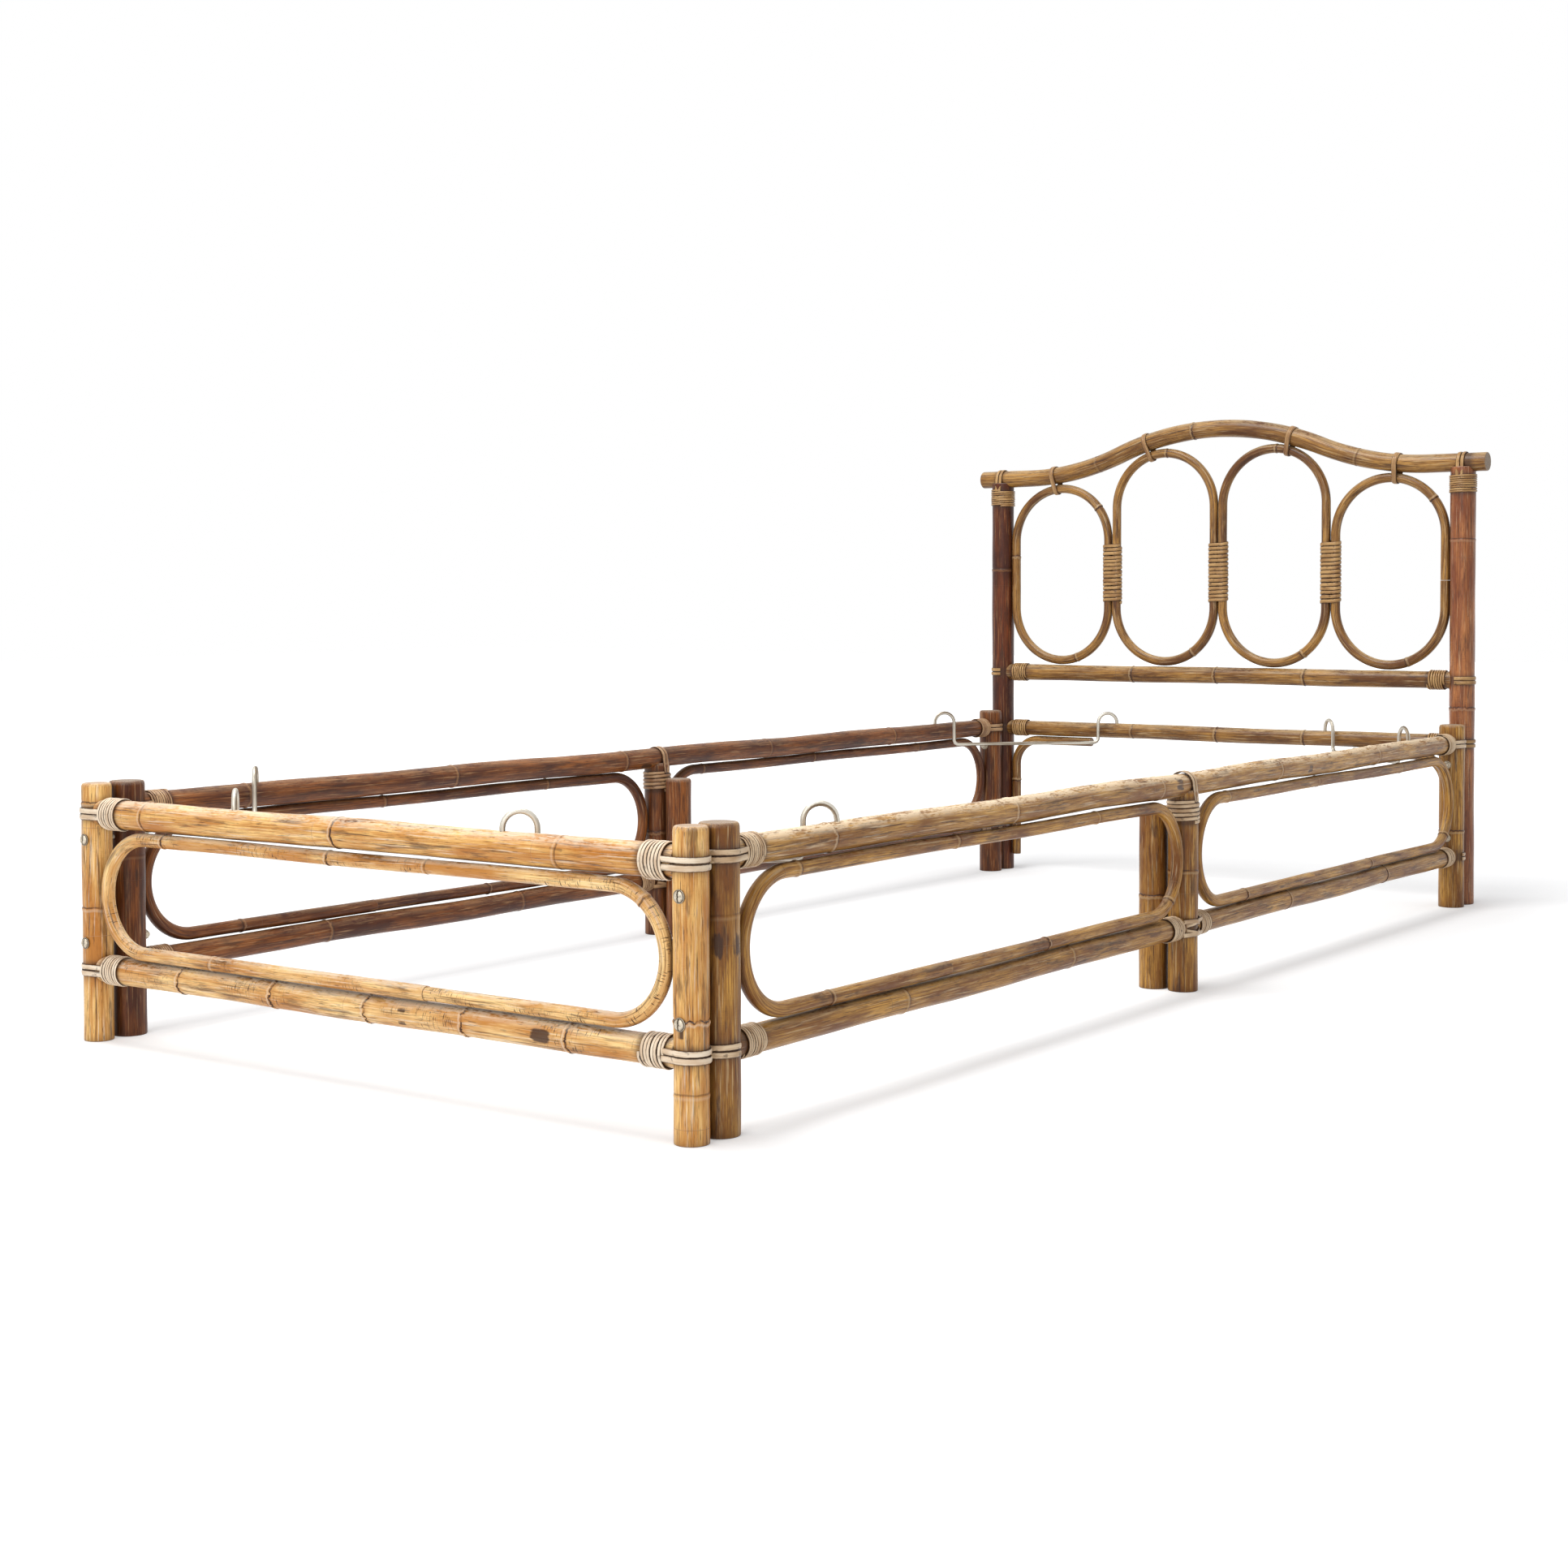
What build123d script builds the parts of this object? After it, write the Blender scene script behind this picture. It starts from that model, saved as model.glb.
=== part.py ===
from build123d import *
from math import ceil, copysign, sqrt
import os

os.makedirs("parts", exist_ok=True)

# Single bed of rattan poles and bent cane, bound with cane peel, in four panels bolted at the corners.
# Millimetres. The floor is Z 0, the foot end faces -Y, the head end +Y, and X 0 is the middle of the bed.

# Clear room between the rails for the slatted base and the mattress
bay_width = 822
bay_length = 1960

# Pole thicknesses at the butt
foot_post_d = 34
side_post_d = 40
middle_post_d = 38
head_post_d = 40
foot_top_rail_d = 33
foot_bottom_rail_d = 30
side_top_rail_d = 30
side_bottom_rail_d = 28
head_top_rail_d = 31
head_middle_rail_d = 29
head_seat_rail_d = 26.5

# Heights above the floor, of a post's top or a rail's axis
bed_post_height = 290
inner_post_height = 231
foot_top_rail_z = 256
foot_bottom_rail_z = 81
side_top_rail_z = 260
side_bottom_rail_z = 81
head_seat_rail_z = 258
head_middle_rail_z = 359
head_top_rail_z = 708

# Crowned head rail
crown_rise = 73
crown_half_width = 370
head_rail_overhang = 40

# Bent cane
cane_d = 16
cane_flats = 8
loop_offset = 5
head_loop_count = 4
brace_reach = 163
brace_bend = 45
brace_floor_gap = 28

# Growth rings: from a post's axis to the rail's first ring, then from ring to ring
foot_top_first_ring = 95
foot_top_ring_pitch = 290
foot_bottom_first_ring = 154
foot_bottom_ring_pitch = 137
side_top_first_ring = 172
side_top_ring_pitch = 350
side_bottom_first_ring = 300
side_bottom_ring_pitch = 350
head_first_ring = 266
head_ring_pitch = 160
ring_end_room = 115
ring_rise = 0.8
ring_half_width = 3.5
ring_thinning = 0.2

# Cane-peel lashings
peel_t = 1.8
peel_flats = 12
wound_length = 32
wound_start = 3
strap_width = 14
tie_width = 12
binding_length = 108

# Steel corner wires that hold up the slatted base
wire_d = 6
wire_flats = 6
wire_reach = 232
wire_arch_width = 34
wire_arch_rise = 18
wire_bar_z = 238
wire_bend = 8
wire_peg_depth = 20

# Corner bolts
bolt_d = 6
bolt_head_d = 11
bolt_head_h = 3
bolt_tail = 3
bolt_low_z = 111
bolt_high_z = 227
nut_width = 10
nut_h = 5

# Running room between pieces, and how far a post's saddle stops below the axis of the rail that lies in it
fit = 0.3
saddle_drop = 7

# Two straps pass between the two posts of a corner, and one between the two middle posts of a side
corner_gap = 2 * peel_t + 3 * fit
middle_gap = peel_t + 2 * fit

side_x = (bay_width + side_top_rail_d) / 2
frame_length = bay_length + (foot_top_rail_d + head_seat_rail_d) / 2
foot_y = (foot_post_d - head_post_d) / 4 - frame_length / 2
head_y = foot_y + frame_length
front_post_y = foot_y + (foot_post_d + side_post_d) / 2 + corner_gap
rear_post_y = head_y - (head_post_d + side_post_d) / 2 - corner_gap
middle_y = (front_post_y + rear_post_y) / 2
sides = {"left": -1, "right": 1}


def save(name, *solids):
    shape = solids[0] if len(solids) == 1 else Compound(children=list(solids))
    export_step(shape, f"parts/{name}.step")


# Poles


def pole(start, end, d, rings=()):
    """A pole with a raised growth ring at each distance from its butt, and a little thinner past each one."""
    run = Vector(*end) - Vector(*start)
    r = d / 2
    outline = [(0, 0), (r, 0)]
    for at in rings:
        outline += [(r, at - ring_half_width), (r + ring_rise, at)]
        r -= ring_thinning / 2
        outline.append((r, at + ring_half_width))
    outline += [(r, run.length), (0, run.length)]
    turned = revolve(Plane.XZ * make_face(Polyline(*outline, close=True)), Axis.Z)
    return Plane(origin=start, z_dir=run).location * turned


def post(x, y, d, height):
    return pole((x, y, 0), (x, y, height), d)


def room(start, end, d):
    """The space that a round pole of this thickness takes, with its running room."""
    run = Vector(*end) - Vector(*start)
    return extrude(Plane(origin=start, z_dir=run) * Circle(d / 2 + fit), run.length)


def rail(start, end, d, post_ds, first_ring, ring_pitch):
    """A ringed pole between two posts, with each end hollowed to the round of its post."""
    length = (Vector(*end) - Vector(*start)).length
    ring_count = ceil((length - first_ring - ring_end_room) / ring_pitch)
    solid = pole(start, end, d, [first_ring + i * ring_pitch for i in range(ring_count)])
    for (x, y, z), post_d in zip((start, end), post_ds):
        solid -= room((x, y, z - d), (x, y, z + d), post_d)
    return solid


# Bent cane


def bent(path, d, flats):
    """A rod bent along the path. Its section has flats, which keeps the many bends light."""
    wire = Wire(path.edges())
    section = Plane(origin=wire @ 0, z_dir=wire % 0) * RegularPolygon(d / 2, flats)
    return sweep(section, path=wire)


def loop(plane, left, right, bottom, top):
    """A closed loop with straight long sides and half-round ends, by the reach of the cane's axis."""
    width, height = right - left, top - bottom
    r = min(width, height) / 2
    half = max(width, height) / 2 - r
    path = Line((-half, r), (half, r)) + ThreePointArc((half, r), (half + r, 0), (half, -r))
    path += Line((half, -r), (-half, -r)) + ThreePointArc((-half, -r), (-half - r, 0), (-half, r))
    upright = Rot(Z=90) if height > width else Rot()
    return bent(plane * Pos((left + right) / 2, (bottom + top) / 2) * upright * path, cane_d, cane_flats)


def beside(d, offset=0):
    """How far a cane's axis stays from that of a pole, measured in the panel's plane."""
    return sqrt(((d + cane_d) / 2 + fit) ** 2 - offset**2)


def beside_rings(d, offset=0):
    return beside(d + 2 * ring_rise, offset)


# Cane peel


def peel_round(d, layers=0):
    """The flat-sided outline round a pole, on the pole or on a layer of peel."""
    r = d / 2 + fit + layers * peel_t
    return RegularPolygon(r, peel_flats, major_radius=False, rotation=180 / peel_flats)


def lashing(plane, post_d, rail_d):
    """Peel wound round a rail's end and strapped round its post.

    The plane's origin is where the two axes cross. Its X runs out along the rail, and its Z along the post.
    """
    start = post_d / 2 + wound_start
    wound = Pos(start) * Rot(Y=90) * extrude(peel_round(rail_d, 1), wound_length)
    mouth = Pos(start) * Rectangle(peel_t, rail_d + 2 * fit + 2 * peel_t)
    outline = make_hull(peel_round(post_d, 1).edges() + mouth.edges())
    strap = extrude(outline, strap_width / 2, both=True)
    post_space = extrude(peel_round(post_d), rail_d, both=True)
    rail_space = Rot(Y=90) * extrude(peel_round(rail_d), start + wound_length)
    return plane.location * (wound + strap - post_space - rail_space)


def binding(plane, first_d, second_d, width):
    """Peel wound round two touching rods, the first at the plane's origin and the second up its Y axis."""
    second_at = Pos(Y=(first_d + second_d) / 2 + fit)
    outer = peel_round(first_d, 1).edges() + (second_at * peel_round(second_d, 1)).edges()
    section = make_hull(outer) - peel_round(first_d) - second_at * peel_round(second_d)
    return plane.location * extrude(section, width / 2, both=True)


# Corner bolts


def bolt_places():
    """Each bolt's seat on the outer post, its direction inwards, and the thickness that it clamps."""
    for x in (-side_x, side_x):
        for z in (bolt_low_z, bolt_high_z):
            foot_grip = foot_post_d + corner_gap + side_post_d + 2 * fit
            head_grip = head_post_d + corner_gap + side_post_d + 2 * fit
            yield (x, foot_y - foot_post_d / 2 - fit, z), 1, foot_grip
            yield (x, head_y + head_post_d / 2 + fit, z), -1, head_grip


def along(place, inwards, distance=0):
    x, y, z = place
    return Plane(origin=(x, y + inwards * distance, z), z_dir=(0, inwards, 0))


def bolt_hole(place, inwards, grip):
    return extrude(along(place, inwards) * Circle(bolt_d / 2 + fit), grip)


def bolt(place, inwards, grip):
    shank = extrude(along(place, inwards) * Circle(bolt_d / 2), grip + nut_h + bolt_tail)
    return shank + extrude(along(place, inwards) * Circle(bolt_head_d / 2), -bolt_head_h)


def nut(place, inwards, grip):
    section = RegularPolygon(nut_width / 2, 6, major_radius=False) - Circle(bolt_d / 2 + fit)
    return extrude(along(place, inwards, grip) * section, nut_h)


# Corner wires


def wire_pegs(x_side, y_side):
    """Where a corner wire pegs into its end rail and its side rail, each on top of the rail."""
    if y_side < 0:
        end_y, end_top = foot_y, foot_top_rail_z + foot_top_rail_d / 2
    else:
        end_y, end_top = head_y, head_seat_rail_z + head_seat_rail_d / 2
    side_top = side_top_rail_z + side_top_rail_d / 2
    on_end = (x_side * (side_x - wire_reach), end_y, end_top)
    on_side = (x_side * side_x, end_y - y_side * wire_reach, side_top)
    return on_end, on_side


def peg_holes():
    for x_side in (-1, 1):
        for y_side in (-1, 1):
            for x, y, top in wire_pegs(x_side, y_side):
                yield room((x, y, top - wire_peg_depth - fit), (x, y, top + wire_peg_depth), wire_d)


def corner_wire(x_side, y_side):
    """Round bar that rises from one rail, arches off it, drops, crosses the corner and ends the same way."""
    (x, y, top), (far_x, far_y, far_top) = wire_pegs(x_side, y_side)
    run = Vector(far_x - x, far_y - y, 0)
    span = run.length
    arch_r = wire_arch_width / 2
    spring = top + wire_arch_rise - arch_r
    far_spring = far_top + wire_arch_rise - arch_r
    leg, far_leg = wire_arch_width, span - wire_arch_width
    path = Line((0, top - wire_peg_depth), (0, spring))
    path += ThreePointArc((0, spring), (arch_r, spring + arch_r), (leg, spring))
    drop = [(leg, spring), (leg, wire_bar_z), (far_leg, wire_bar_z), (far_leg, far_spring)]
    path += FilletPolyline(*drop, radius=wire_bend)
    path += ThreePointArc((far_leg, far_spring), (far_leg + arch_r, far_spring + arch_r), (span, far_spring))
    path += Line((span, far_spring), (span, far_top - wire_peg_depth))
    upright = Plane(origin=(x, y, 0), x_dir=run, z_dir=run.cross(Vector(0, 0, 1)))
    return bent(upright * path, wire_d, wire_flats)


# Foot panel

bolt_holes = [bolt_hole(*place) for place in bolt_places()]
pegs = list(peg_holes())
foot_plane = Plane(origin=(0, foot_y - loop_offset, 0), x_dir=(1, 0, 0), z_dir=(0, -1, 0))


def foot_rail(z, d, *rings):
    ends = (-side_x, foot_y, z), (side_x, foot_y, z)
    return rail(*ends, d, (foot_post_d, foot_post_d), *rings)


for name, side in sides.items():
    save(f"foot_post_{name}", post(side * side_x, foot_y, foot_post_d, bed_post_height) - bolt_holes)
foot_top_rings = foot_top_first_ring, foot_top_ring_pitch
foot_bottom_rings = foot_bottom_first_ring, foot_bottom_ring_pitch
save("foot_top_rail", foot_rail(foot_top_rail_z, foot_top_rail_d, *foot_top_rings) - pegs)
save("foot_bottom_rail", foot_rail(foot_bottom_rail_z, foot_bottom_rail_d, *foot_bottom_rings))

foot_reach = side_x - beside(foot_post_d, loop_offset)
foot_low = foot_bottom_rail_z + beside_rings(foot_bottom_rail_d, loop_offset)
foot_high = foot_top_rail_z - beside_rings(foot_top_rail_d, loop_offset)
save("foot_loop", loop(foot_plane, -foot_reach, foot_reach, foot_low, foot_high))

foot_lashings = []
for side in sides.values():
    for z, d in ((foot_top_rail_z, foot_top_rail_d), (foot_bottom_rail_z, foot_bottom_rail_d)):
        corner = Plane(origin=(side * side_x, foot_y, z), x_dir=(-side, 0, 0), z_dir=(0, 0, 1))
        foot_lashings.append(lashing(corner, foot_post_d, d))
save("foot_lashings", *foot_lashings)

# Side panels

side_low = side_bottom_rail_z + beside_rings(side_bottom_rail_d, loop_offset)
side_high = side_top_rail_z - beside_rings(side_top_rail_d, loop_offset)

for name, side in sides.items():
    x = side * side_x
    save(f"{name}_front_post", post(x, front_post_y, side_post_d, bed_post_height) - bolt_holes)
    save(f"{name}_rear_post", post(x, rear_post_y, side_post_d, bed_post_height) - bolt_holes)

    top_ends = (x, front_post_y, side_top_rail_z), (x, rear_post_y, side_top_rail_z)
    end_posts = (side_post_d, side_post_d)
    top = rail(*top_ends, side_top_rail_d, end_posts, side_top_first_ring, side_top_ring_pitch)
    save(f"{name}_top_rail", top - pegs)

    middle = post(x, middle_y, middle_post_d, side_top_rail_z - saddle_drop)
    save(f"{name}_middle_post", middle - room(*top_ends, side_top_rail_d))
    inner_x = side * (side_x - middle_post_d - middle_gap)
    save(f"{name}_inner_post", post(inner_x, middle_y, middle_post_d, inner_post_height))

    side_plane = Plane(origin=(side * (side_x + loop_offset), 0, 0), x_dir=(0, 1, 0), z_dir=(1, 0, 0))
    lashings = []
    crossed = []
    for part, post_y, inwards in (("front", front_post_y, 1), ("rear", rear_post_y, -1)):
        bottom_ends = (x, post_y, side_bottom_rail_z), (x, middle_y, side_bottom_rail_z)
        posts = (side_post_d, middle_post_d)
        bottom = rail(*bottom_ends, side_bottom_rail_d, posts, side_bottom_first_ring, side_bottom_ring_pitch)
        save(f"{name}_{part}_bottom_rail", bottom)

        end = post_y + inwards * beside(side_post_d, loop_offset)
        inner_end = middle_y - inwards * beside(middle_post_d, loop_offset)
        left, right = min(end, inner_end), max(end, inner_end)
        save(f"{name}_{part}_loop", loop(side_plane, left, right, side_low, side_high))

        for z, d in ((side_top_rail_z, side_top_rail_d), (side_bottom_rail_z, side_bottom_rail_d)):
            corner = Plane(origin=(x, post_y, z), x_dir=(0, inwards, 0), z_dir=(0, 0, 1))
            lashings.append(lashing(corner, side_post_d, d))
        cross = Plane(origin=(x, middle_y, side_bottom_rail_z), x_dir=(0, -inwards, 0), z_dir=(0, 0, 1))
        crossed.append(lashing(cross, middle_post_d, side_bottom_rail_d))

    through = Rot(X=90) * extrude(peel_round(side_bottom_rail_d), middle_post_d, both=True)
    lashings.append(crossed[0] + crossed[1] - Pos(x, middle_y, side_bottom_rail_z) * through)
    over = Plane(origin=(x, middle_y, side_top_rail_z), x_dir=(0, 0, -1), z_dir=(0, 1, 0))
    lashings.append(lashing(over, side_top_rail_d, middle_post_d))
    save(f"{name}_lashings", *lashings)

# Head panel

head_plane = Plane(origin=(0, head_y, 0), x_dir=(1, 0, 0), z_dir=(0, -1, 0))
head_half = side_x + head_rail_overhang
head_top_ends = (-head_half, head_y, head_top_rail_z), (head_half, head_y, head_top_rail_z)
crown_z = head_top_rail_z + crown_rise
crown_r = (crown_half_width**2 + crown_rise**2) / (4 * crown_rise)
shoulder = (crown_half_width, head_top_rail_z)
slope_middle = (crown_half_width / 2, head_top_rail_z + crown_rise / 2)


def head_rail(z, d):
    ends = (-side_x, head_y, z), (side_x, head_y, z)
    return rail(*ends, d, (head_post_d, head_post_d), head_first_ring, head_ring_pitch)


for name, side in sides.items():
    tall = post(side * side_x, head_y, head_post_d, head_top_rail_z - saddle_drop)
    save(f"head_post_{name}", tall - room(*head_top_ends, head_top_rail_d) - bolt_holes)

crown = ThreePointArc((-slope_middle[0], slope_middle[1]), (0, crown_z), slope_middle)
right_turn = TangentArc(slope_middle, shoulder, tangent=crown % 1)
crown_path = Line((-head_half, head_top_rail_z), (-crown_half_width, head_top_rail_z))
crown_path += mirror(right_turn, Plane.YZ) + crown + right_turn
crown_path += Line(shoulder, (head_half, head_top_rail_z))
crown_wire = Wire((head_plane * crown_path).edges())
crown_start = Plane(origin=crown_wire @ 0, z_dir=crown_wire % 0)
save("head_top_rail", sweep(crown_start * Circle(head_top_rail_d / 2), path=crown_wire))
save("head_middle_rail", head_rail(head_middle_rail_z, head_middle_rail_d))
save("head_seat_rail", head_rail(head_seat_rail_z, head_seat_rail_d) - pegs)

head_clear = 2 * side_x - head_post_d
loop_width = (head_clear - fit) / head_loop_count - fit
loop_r = (loop_width - cane_d) / 2
low_z = head_middle_rail_z + beside(head_middle_rail_d)
rail_to_cane = (head_top_rail_d + cane_d) / 2 + fit


def hang(x):
    """Centre of the top arc of a loop that touches the crowned rail from below, and the way to the rail."""
    if abs(x) < crown_half_width / 2:
        arc_z = crown_z - crown_r
        centre_z = arc_z + sqrt((crown_r - rail_to_cane - loop_r) ** 2 - x**2)
        return centre_z, Vector(x, 0, centre_z - arc_z).normalized()
    arc_x, arc_z = copysign(crown_half_width, x), head_top_rail_z + crown_r
    centre_z = arc_z - sqrt((crown_r + rail_to_cane + loop_r) ** 2 - (arc_x - x) ** 2)
    return centre_z, Vector(arc_x - x, 0, arc_z - centre_z).normalized()


ties = []
bindings = []
outer_high = hang((head_clear - loop_width) / 2 - fit)[0]
binding_z = (low_z + loop_r + outer_high) / 2
for i in range(head_loop_count):
    x = (i - (head_loop_count - 1) / 2) * (loop_width + fit)
    high_centre, up = hang(x)
    save(f"head_loop_{i + 1}", loop(head_plane, x - loop_r, x + loop_r, low_z, high_centre + loop_r))
    cane_top = Vector(x, head_y, high_centre) + up * loop_r
    hung = Plane(origin=cane_top, x_dir=(0, 1, 0), z_dir=Vector(0, 1, 0).cross(up))
    ties.append(binding(hung, cane_d, head_top_rail_d, tie_width))
    if i > 0:
        pair = Plane(origin=(x - loop_r, head_y, binding_z), x_dir=(0, 1, 0), z_dir=(0, 0, 1))
        bindings.append(binding(pair, cane_d, cane_d, binding_length))
save("head_loop_ties", *ties)
save("head_loop_bindings", *bindings)

brace_z = head_seat_rail_z - beside(head_seat_rail_d)
brace_x = side_x - beside(head_post_d)
brace_end_x = side_x - head_post_d / 2 - brace_reach
for name, side in sides.items():
    corner = [(side * brace_end_x, brace_z), (side * brace_x, brace_z), (side * brace_x, brace_floor_gap)]
    brace_path = head_plane * FilletPolyline(*corner, radius=brace_bend)
    save(f"head_brace_{name}", bent(brace_path, cane_d, cane_flats))

head_lashings = []
for side in sides.values():
    for z, d in ((head_middle_rail_z, head_middle_rail_d), (head_seat_rail_z, head_seat_rail_d)):
        corner = Plane(origin=(side * side_x, head_y, z), x_dir=(-side, 0, 0), z_dir=(0, 0, 1))
        head_lashings.append(lashing(corner, head_post_d, d))
    over = Plane(origin=(side * side_x, head_y, head_top_rail_z), x_dir=(0, 0, -1), z_dir=(1, 0, 0))
    head_lashings.append(lashing(over, head_top_rail_d, head_post_d))
save("head_lashings", *head_lashings)

# Hardware

for x_name, x_side in sides.items():
    for y_name, y_side in (("front", -1), ("rear", 1)):
        save(f"corner_wire_{y_name}_{x_name}", corner_wire(x_side, y_side))
save("corner_bolts", *[bolt(*place) for place in bolt_places()])
save("corner_nuts", *[nut(*place) for place in bolt_places()])
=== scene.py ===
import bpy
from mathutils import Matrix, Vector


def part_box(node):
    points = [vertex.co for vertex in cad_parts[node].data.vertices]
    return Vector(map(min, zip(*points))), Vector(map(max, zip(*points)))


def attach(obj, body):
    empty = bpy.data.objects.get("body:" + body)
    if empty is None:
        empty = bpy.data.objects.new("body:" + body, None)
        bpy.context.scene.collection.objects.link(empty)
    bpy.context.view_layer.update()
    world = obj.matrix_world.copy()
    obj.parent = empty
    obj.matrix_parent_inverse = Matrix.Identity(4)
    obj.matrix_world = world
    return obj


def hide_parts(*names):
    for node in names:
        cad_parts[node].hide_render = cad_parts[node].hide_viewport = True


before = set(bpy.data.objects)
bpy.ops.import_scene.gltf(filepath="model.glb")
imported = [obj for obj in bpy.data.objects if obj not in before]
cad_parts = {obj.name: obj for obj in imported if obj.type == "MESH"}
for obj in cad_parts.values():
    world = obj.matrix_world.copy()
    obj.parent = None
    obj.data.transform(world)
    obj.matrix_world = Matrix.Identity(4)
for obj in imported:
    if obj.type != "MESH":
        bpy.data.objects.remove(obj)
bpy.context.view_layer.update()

import bpy
import numpy as np
from math import cos, pi, radians, sin
from mathutils import Matrix, Vector

# Camera, daylight and floor
# The bed stands alone in a white room, seen from beyond its right foot corner, a little above the rails.
# A soft lamp overhead, a smaller one beyond the foot end and an even white sky leave a soft shade below.

camera = bpy.data.objects.new("camera", bpy.data.cameras.new("camera"))
bpy.context.collection.objects.link(camera)
bpy.context.scene.camera = camera
picture_px, focal_px, horizon_px, sensor = 1932, 2826.878, 820, 36
camera.data.sensor_width = sensor
camera.data.lens = focal_px / picture_px * sensor
camera.data.shift_y = (horizon_px - picture_px / 2) / picture_px
camera.data.clip_end = 100
camera_yaw, camera_pitch, camera_roll = 0.6304, -0.03, -0.0031
ahead = Vector((-sin(camera_yaw) * cos(camera_pitch), cos(camera_yaw) * cos(camera_pitch), sin(camera_pitch)))
across = Vector((cos(camera_yaw), sin(camera_yaw), 0))
above = across.cross(ahead)
level_across = cos(camera_roll) * across + sin(camera_roll) * above
level_above = cos(camera_roll) * above - sin(camera_roll) * across
camera.matrix_world = Matrix.Translation((1.7156, -2.6194, 0.4965)) @ Matrix(
    (level_across, level_above, -ahead)).transposed().to_4x4()

bpy.context.scene.view_settings.view_transform = "Standard"


def place(tree, kind, at=None, **settings):
    """A node with its settings, and a value or a link for each named input."""
    node = tree.nodes.new(kind)
    for name, value in settings.items():
        setattr(node, name, value)
    for name, value in (at or {}).items():
        socket = node.inputs[name]
        if isinstance(value, bpy.types.NodeSocket):
            tree.links.new(value, socket)
        else:
            socket.default_value = value
    return node


world = bpy.data.worlds.new("white_room")
world.use_nodes = True
bpy.context.scene.world = world
sky = world.node_tree
sky.nodes.clear()
ray = place(sky, "ShaderNodeLightPath")
sees_white = place(sky, "ShaderNodeMath", {0: ray.outputs["Is Camera Ray"], 1: ray.outputs["Is Glossy Ray"]},
                   operation="MAXIMUM")
daylight = place(sky, "ShaderNodeBackground", {"Color": (0.97, 0.98, 1, 1), "Strength": 0.48})
backdrop = place(sky, "ShaderNodeBackground", {"Color": (1, 1, 1, 1), "Strength": 1.0})
room = place(sky, "ShaderNodeMixShader", {0: sees_white.outputs[0], 1: daylight.outputs[0], 2: backdrop.outputs[0]})
place(sky, "ShaderNodeOutputWorld", {"Surface": room.outputs[0]})

for name, where, aim, size, power in (
        ("overhead", (-0.4, -0.9, 3.2), (0, 0, 0), 2.0, 92),
        ("window", (0.9, -3.8, 1.7), (0, -0.6, 0.2), 1.6, 38)):
    lamp = bpy.data.objects.new(name, bpy.data.lights.new(name, "AREA"))
    lamp.data.energy, lamp.data.size = power, size
    lamp.location = where
    lamp.rotation_euler = (Vector(aim) - Vector(where)).to_track_quat("-Z", "Y").to_euler()
    bpy.context.collection.objects.link(lamp)

floor = bpy.data.objects.new("floor", bpy.data.meshes.new("floor"))
floor.data.from_pydata([(-14, -14, 0), (14, -14, 0), (14, 14, 0), (-14, 14, 0)], [], [(0, 1, 2, 3)])
bpy.context.collection.objects.link(floor)
pale = bpy.data.materials.new("pale_floor")
pale.use_nodes = True
tree = pale.node_tree
tree.nodes.clear()
ray = place(tree, "ShaderNodeLightPath")
sees_white = place(tree, "ShaderNodeMath", {0: ray.outputs["Is Camera Ray"], 1: ray.outputs["Is Glossy Ray"]},
                   operation="MAXIMUM")
spread = place(tree, "ShaderNodeVectorMath", {0: place(tree, "ShaderNodeTexCoord").outputs["Object"]},
               operation="LENGTH")
far = place(tree, "ShaderNodeMapRange", {"Value": spread.outputs["Value"], "From Min": 1.0, "From Max": 4.0,
                                         "To Min": 0.25, "To Max": 1.0})
lift = place(tree, "ShaderNodeMath", {0: sees_white.outputs[0], 1: far.outputs[0]}, operation="MULTIPLY")
glow = place(tree, "ShaderNodeEmission", {"Color": (1, 1, 1, 1), "Strength": lift.outputs[0]})
matt = place(tree, "ShaderNodeBsdfDiffuse", {"Color": (0.82, 0.82, 0.82, 1)})
both = place(tree, "ShaderNodeAddShader", {0: glow.outputs[0], 1: matt.outputs[0]})
place(tree, "ShaderNodeOutputMaterial", {"Surface": both.outputs[0]})
floor.data.materials.append(pale)

# Foot posts
# Two short rattan poles with the skin left on, sawn square at both ends. The growth rings show as low
# ridges with a dark line, and the pole swells a little between them as it grew.


def distances(points):
    return np.concatenate([[0], np.cumsum(np.linalg.norm(np.diff(points, axis=0), axis=1))])


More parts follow.
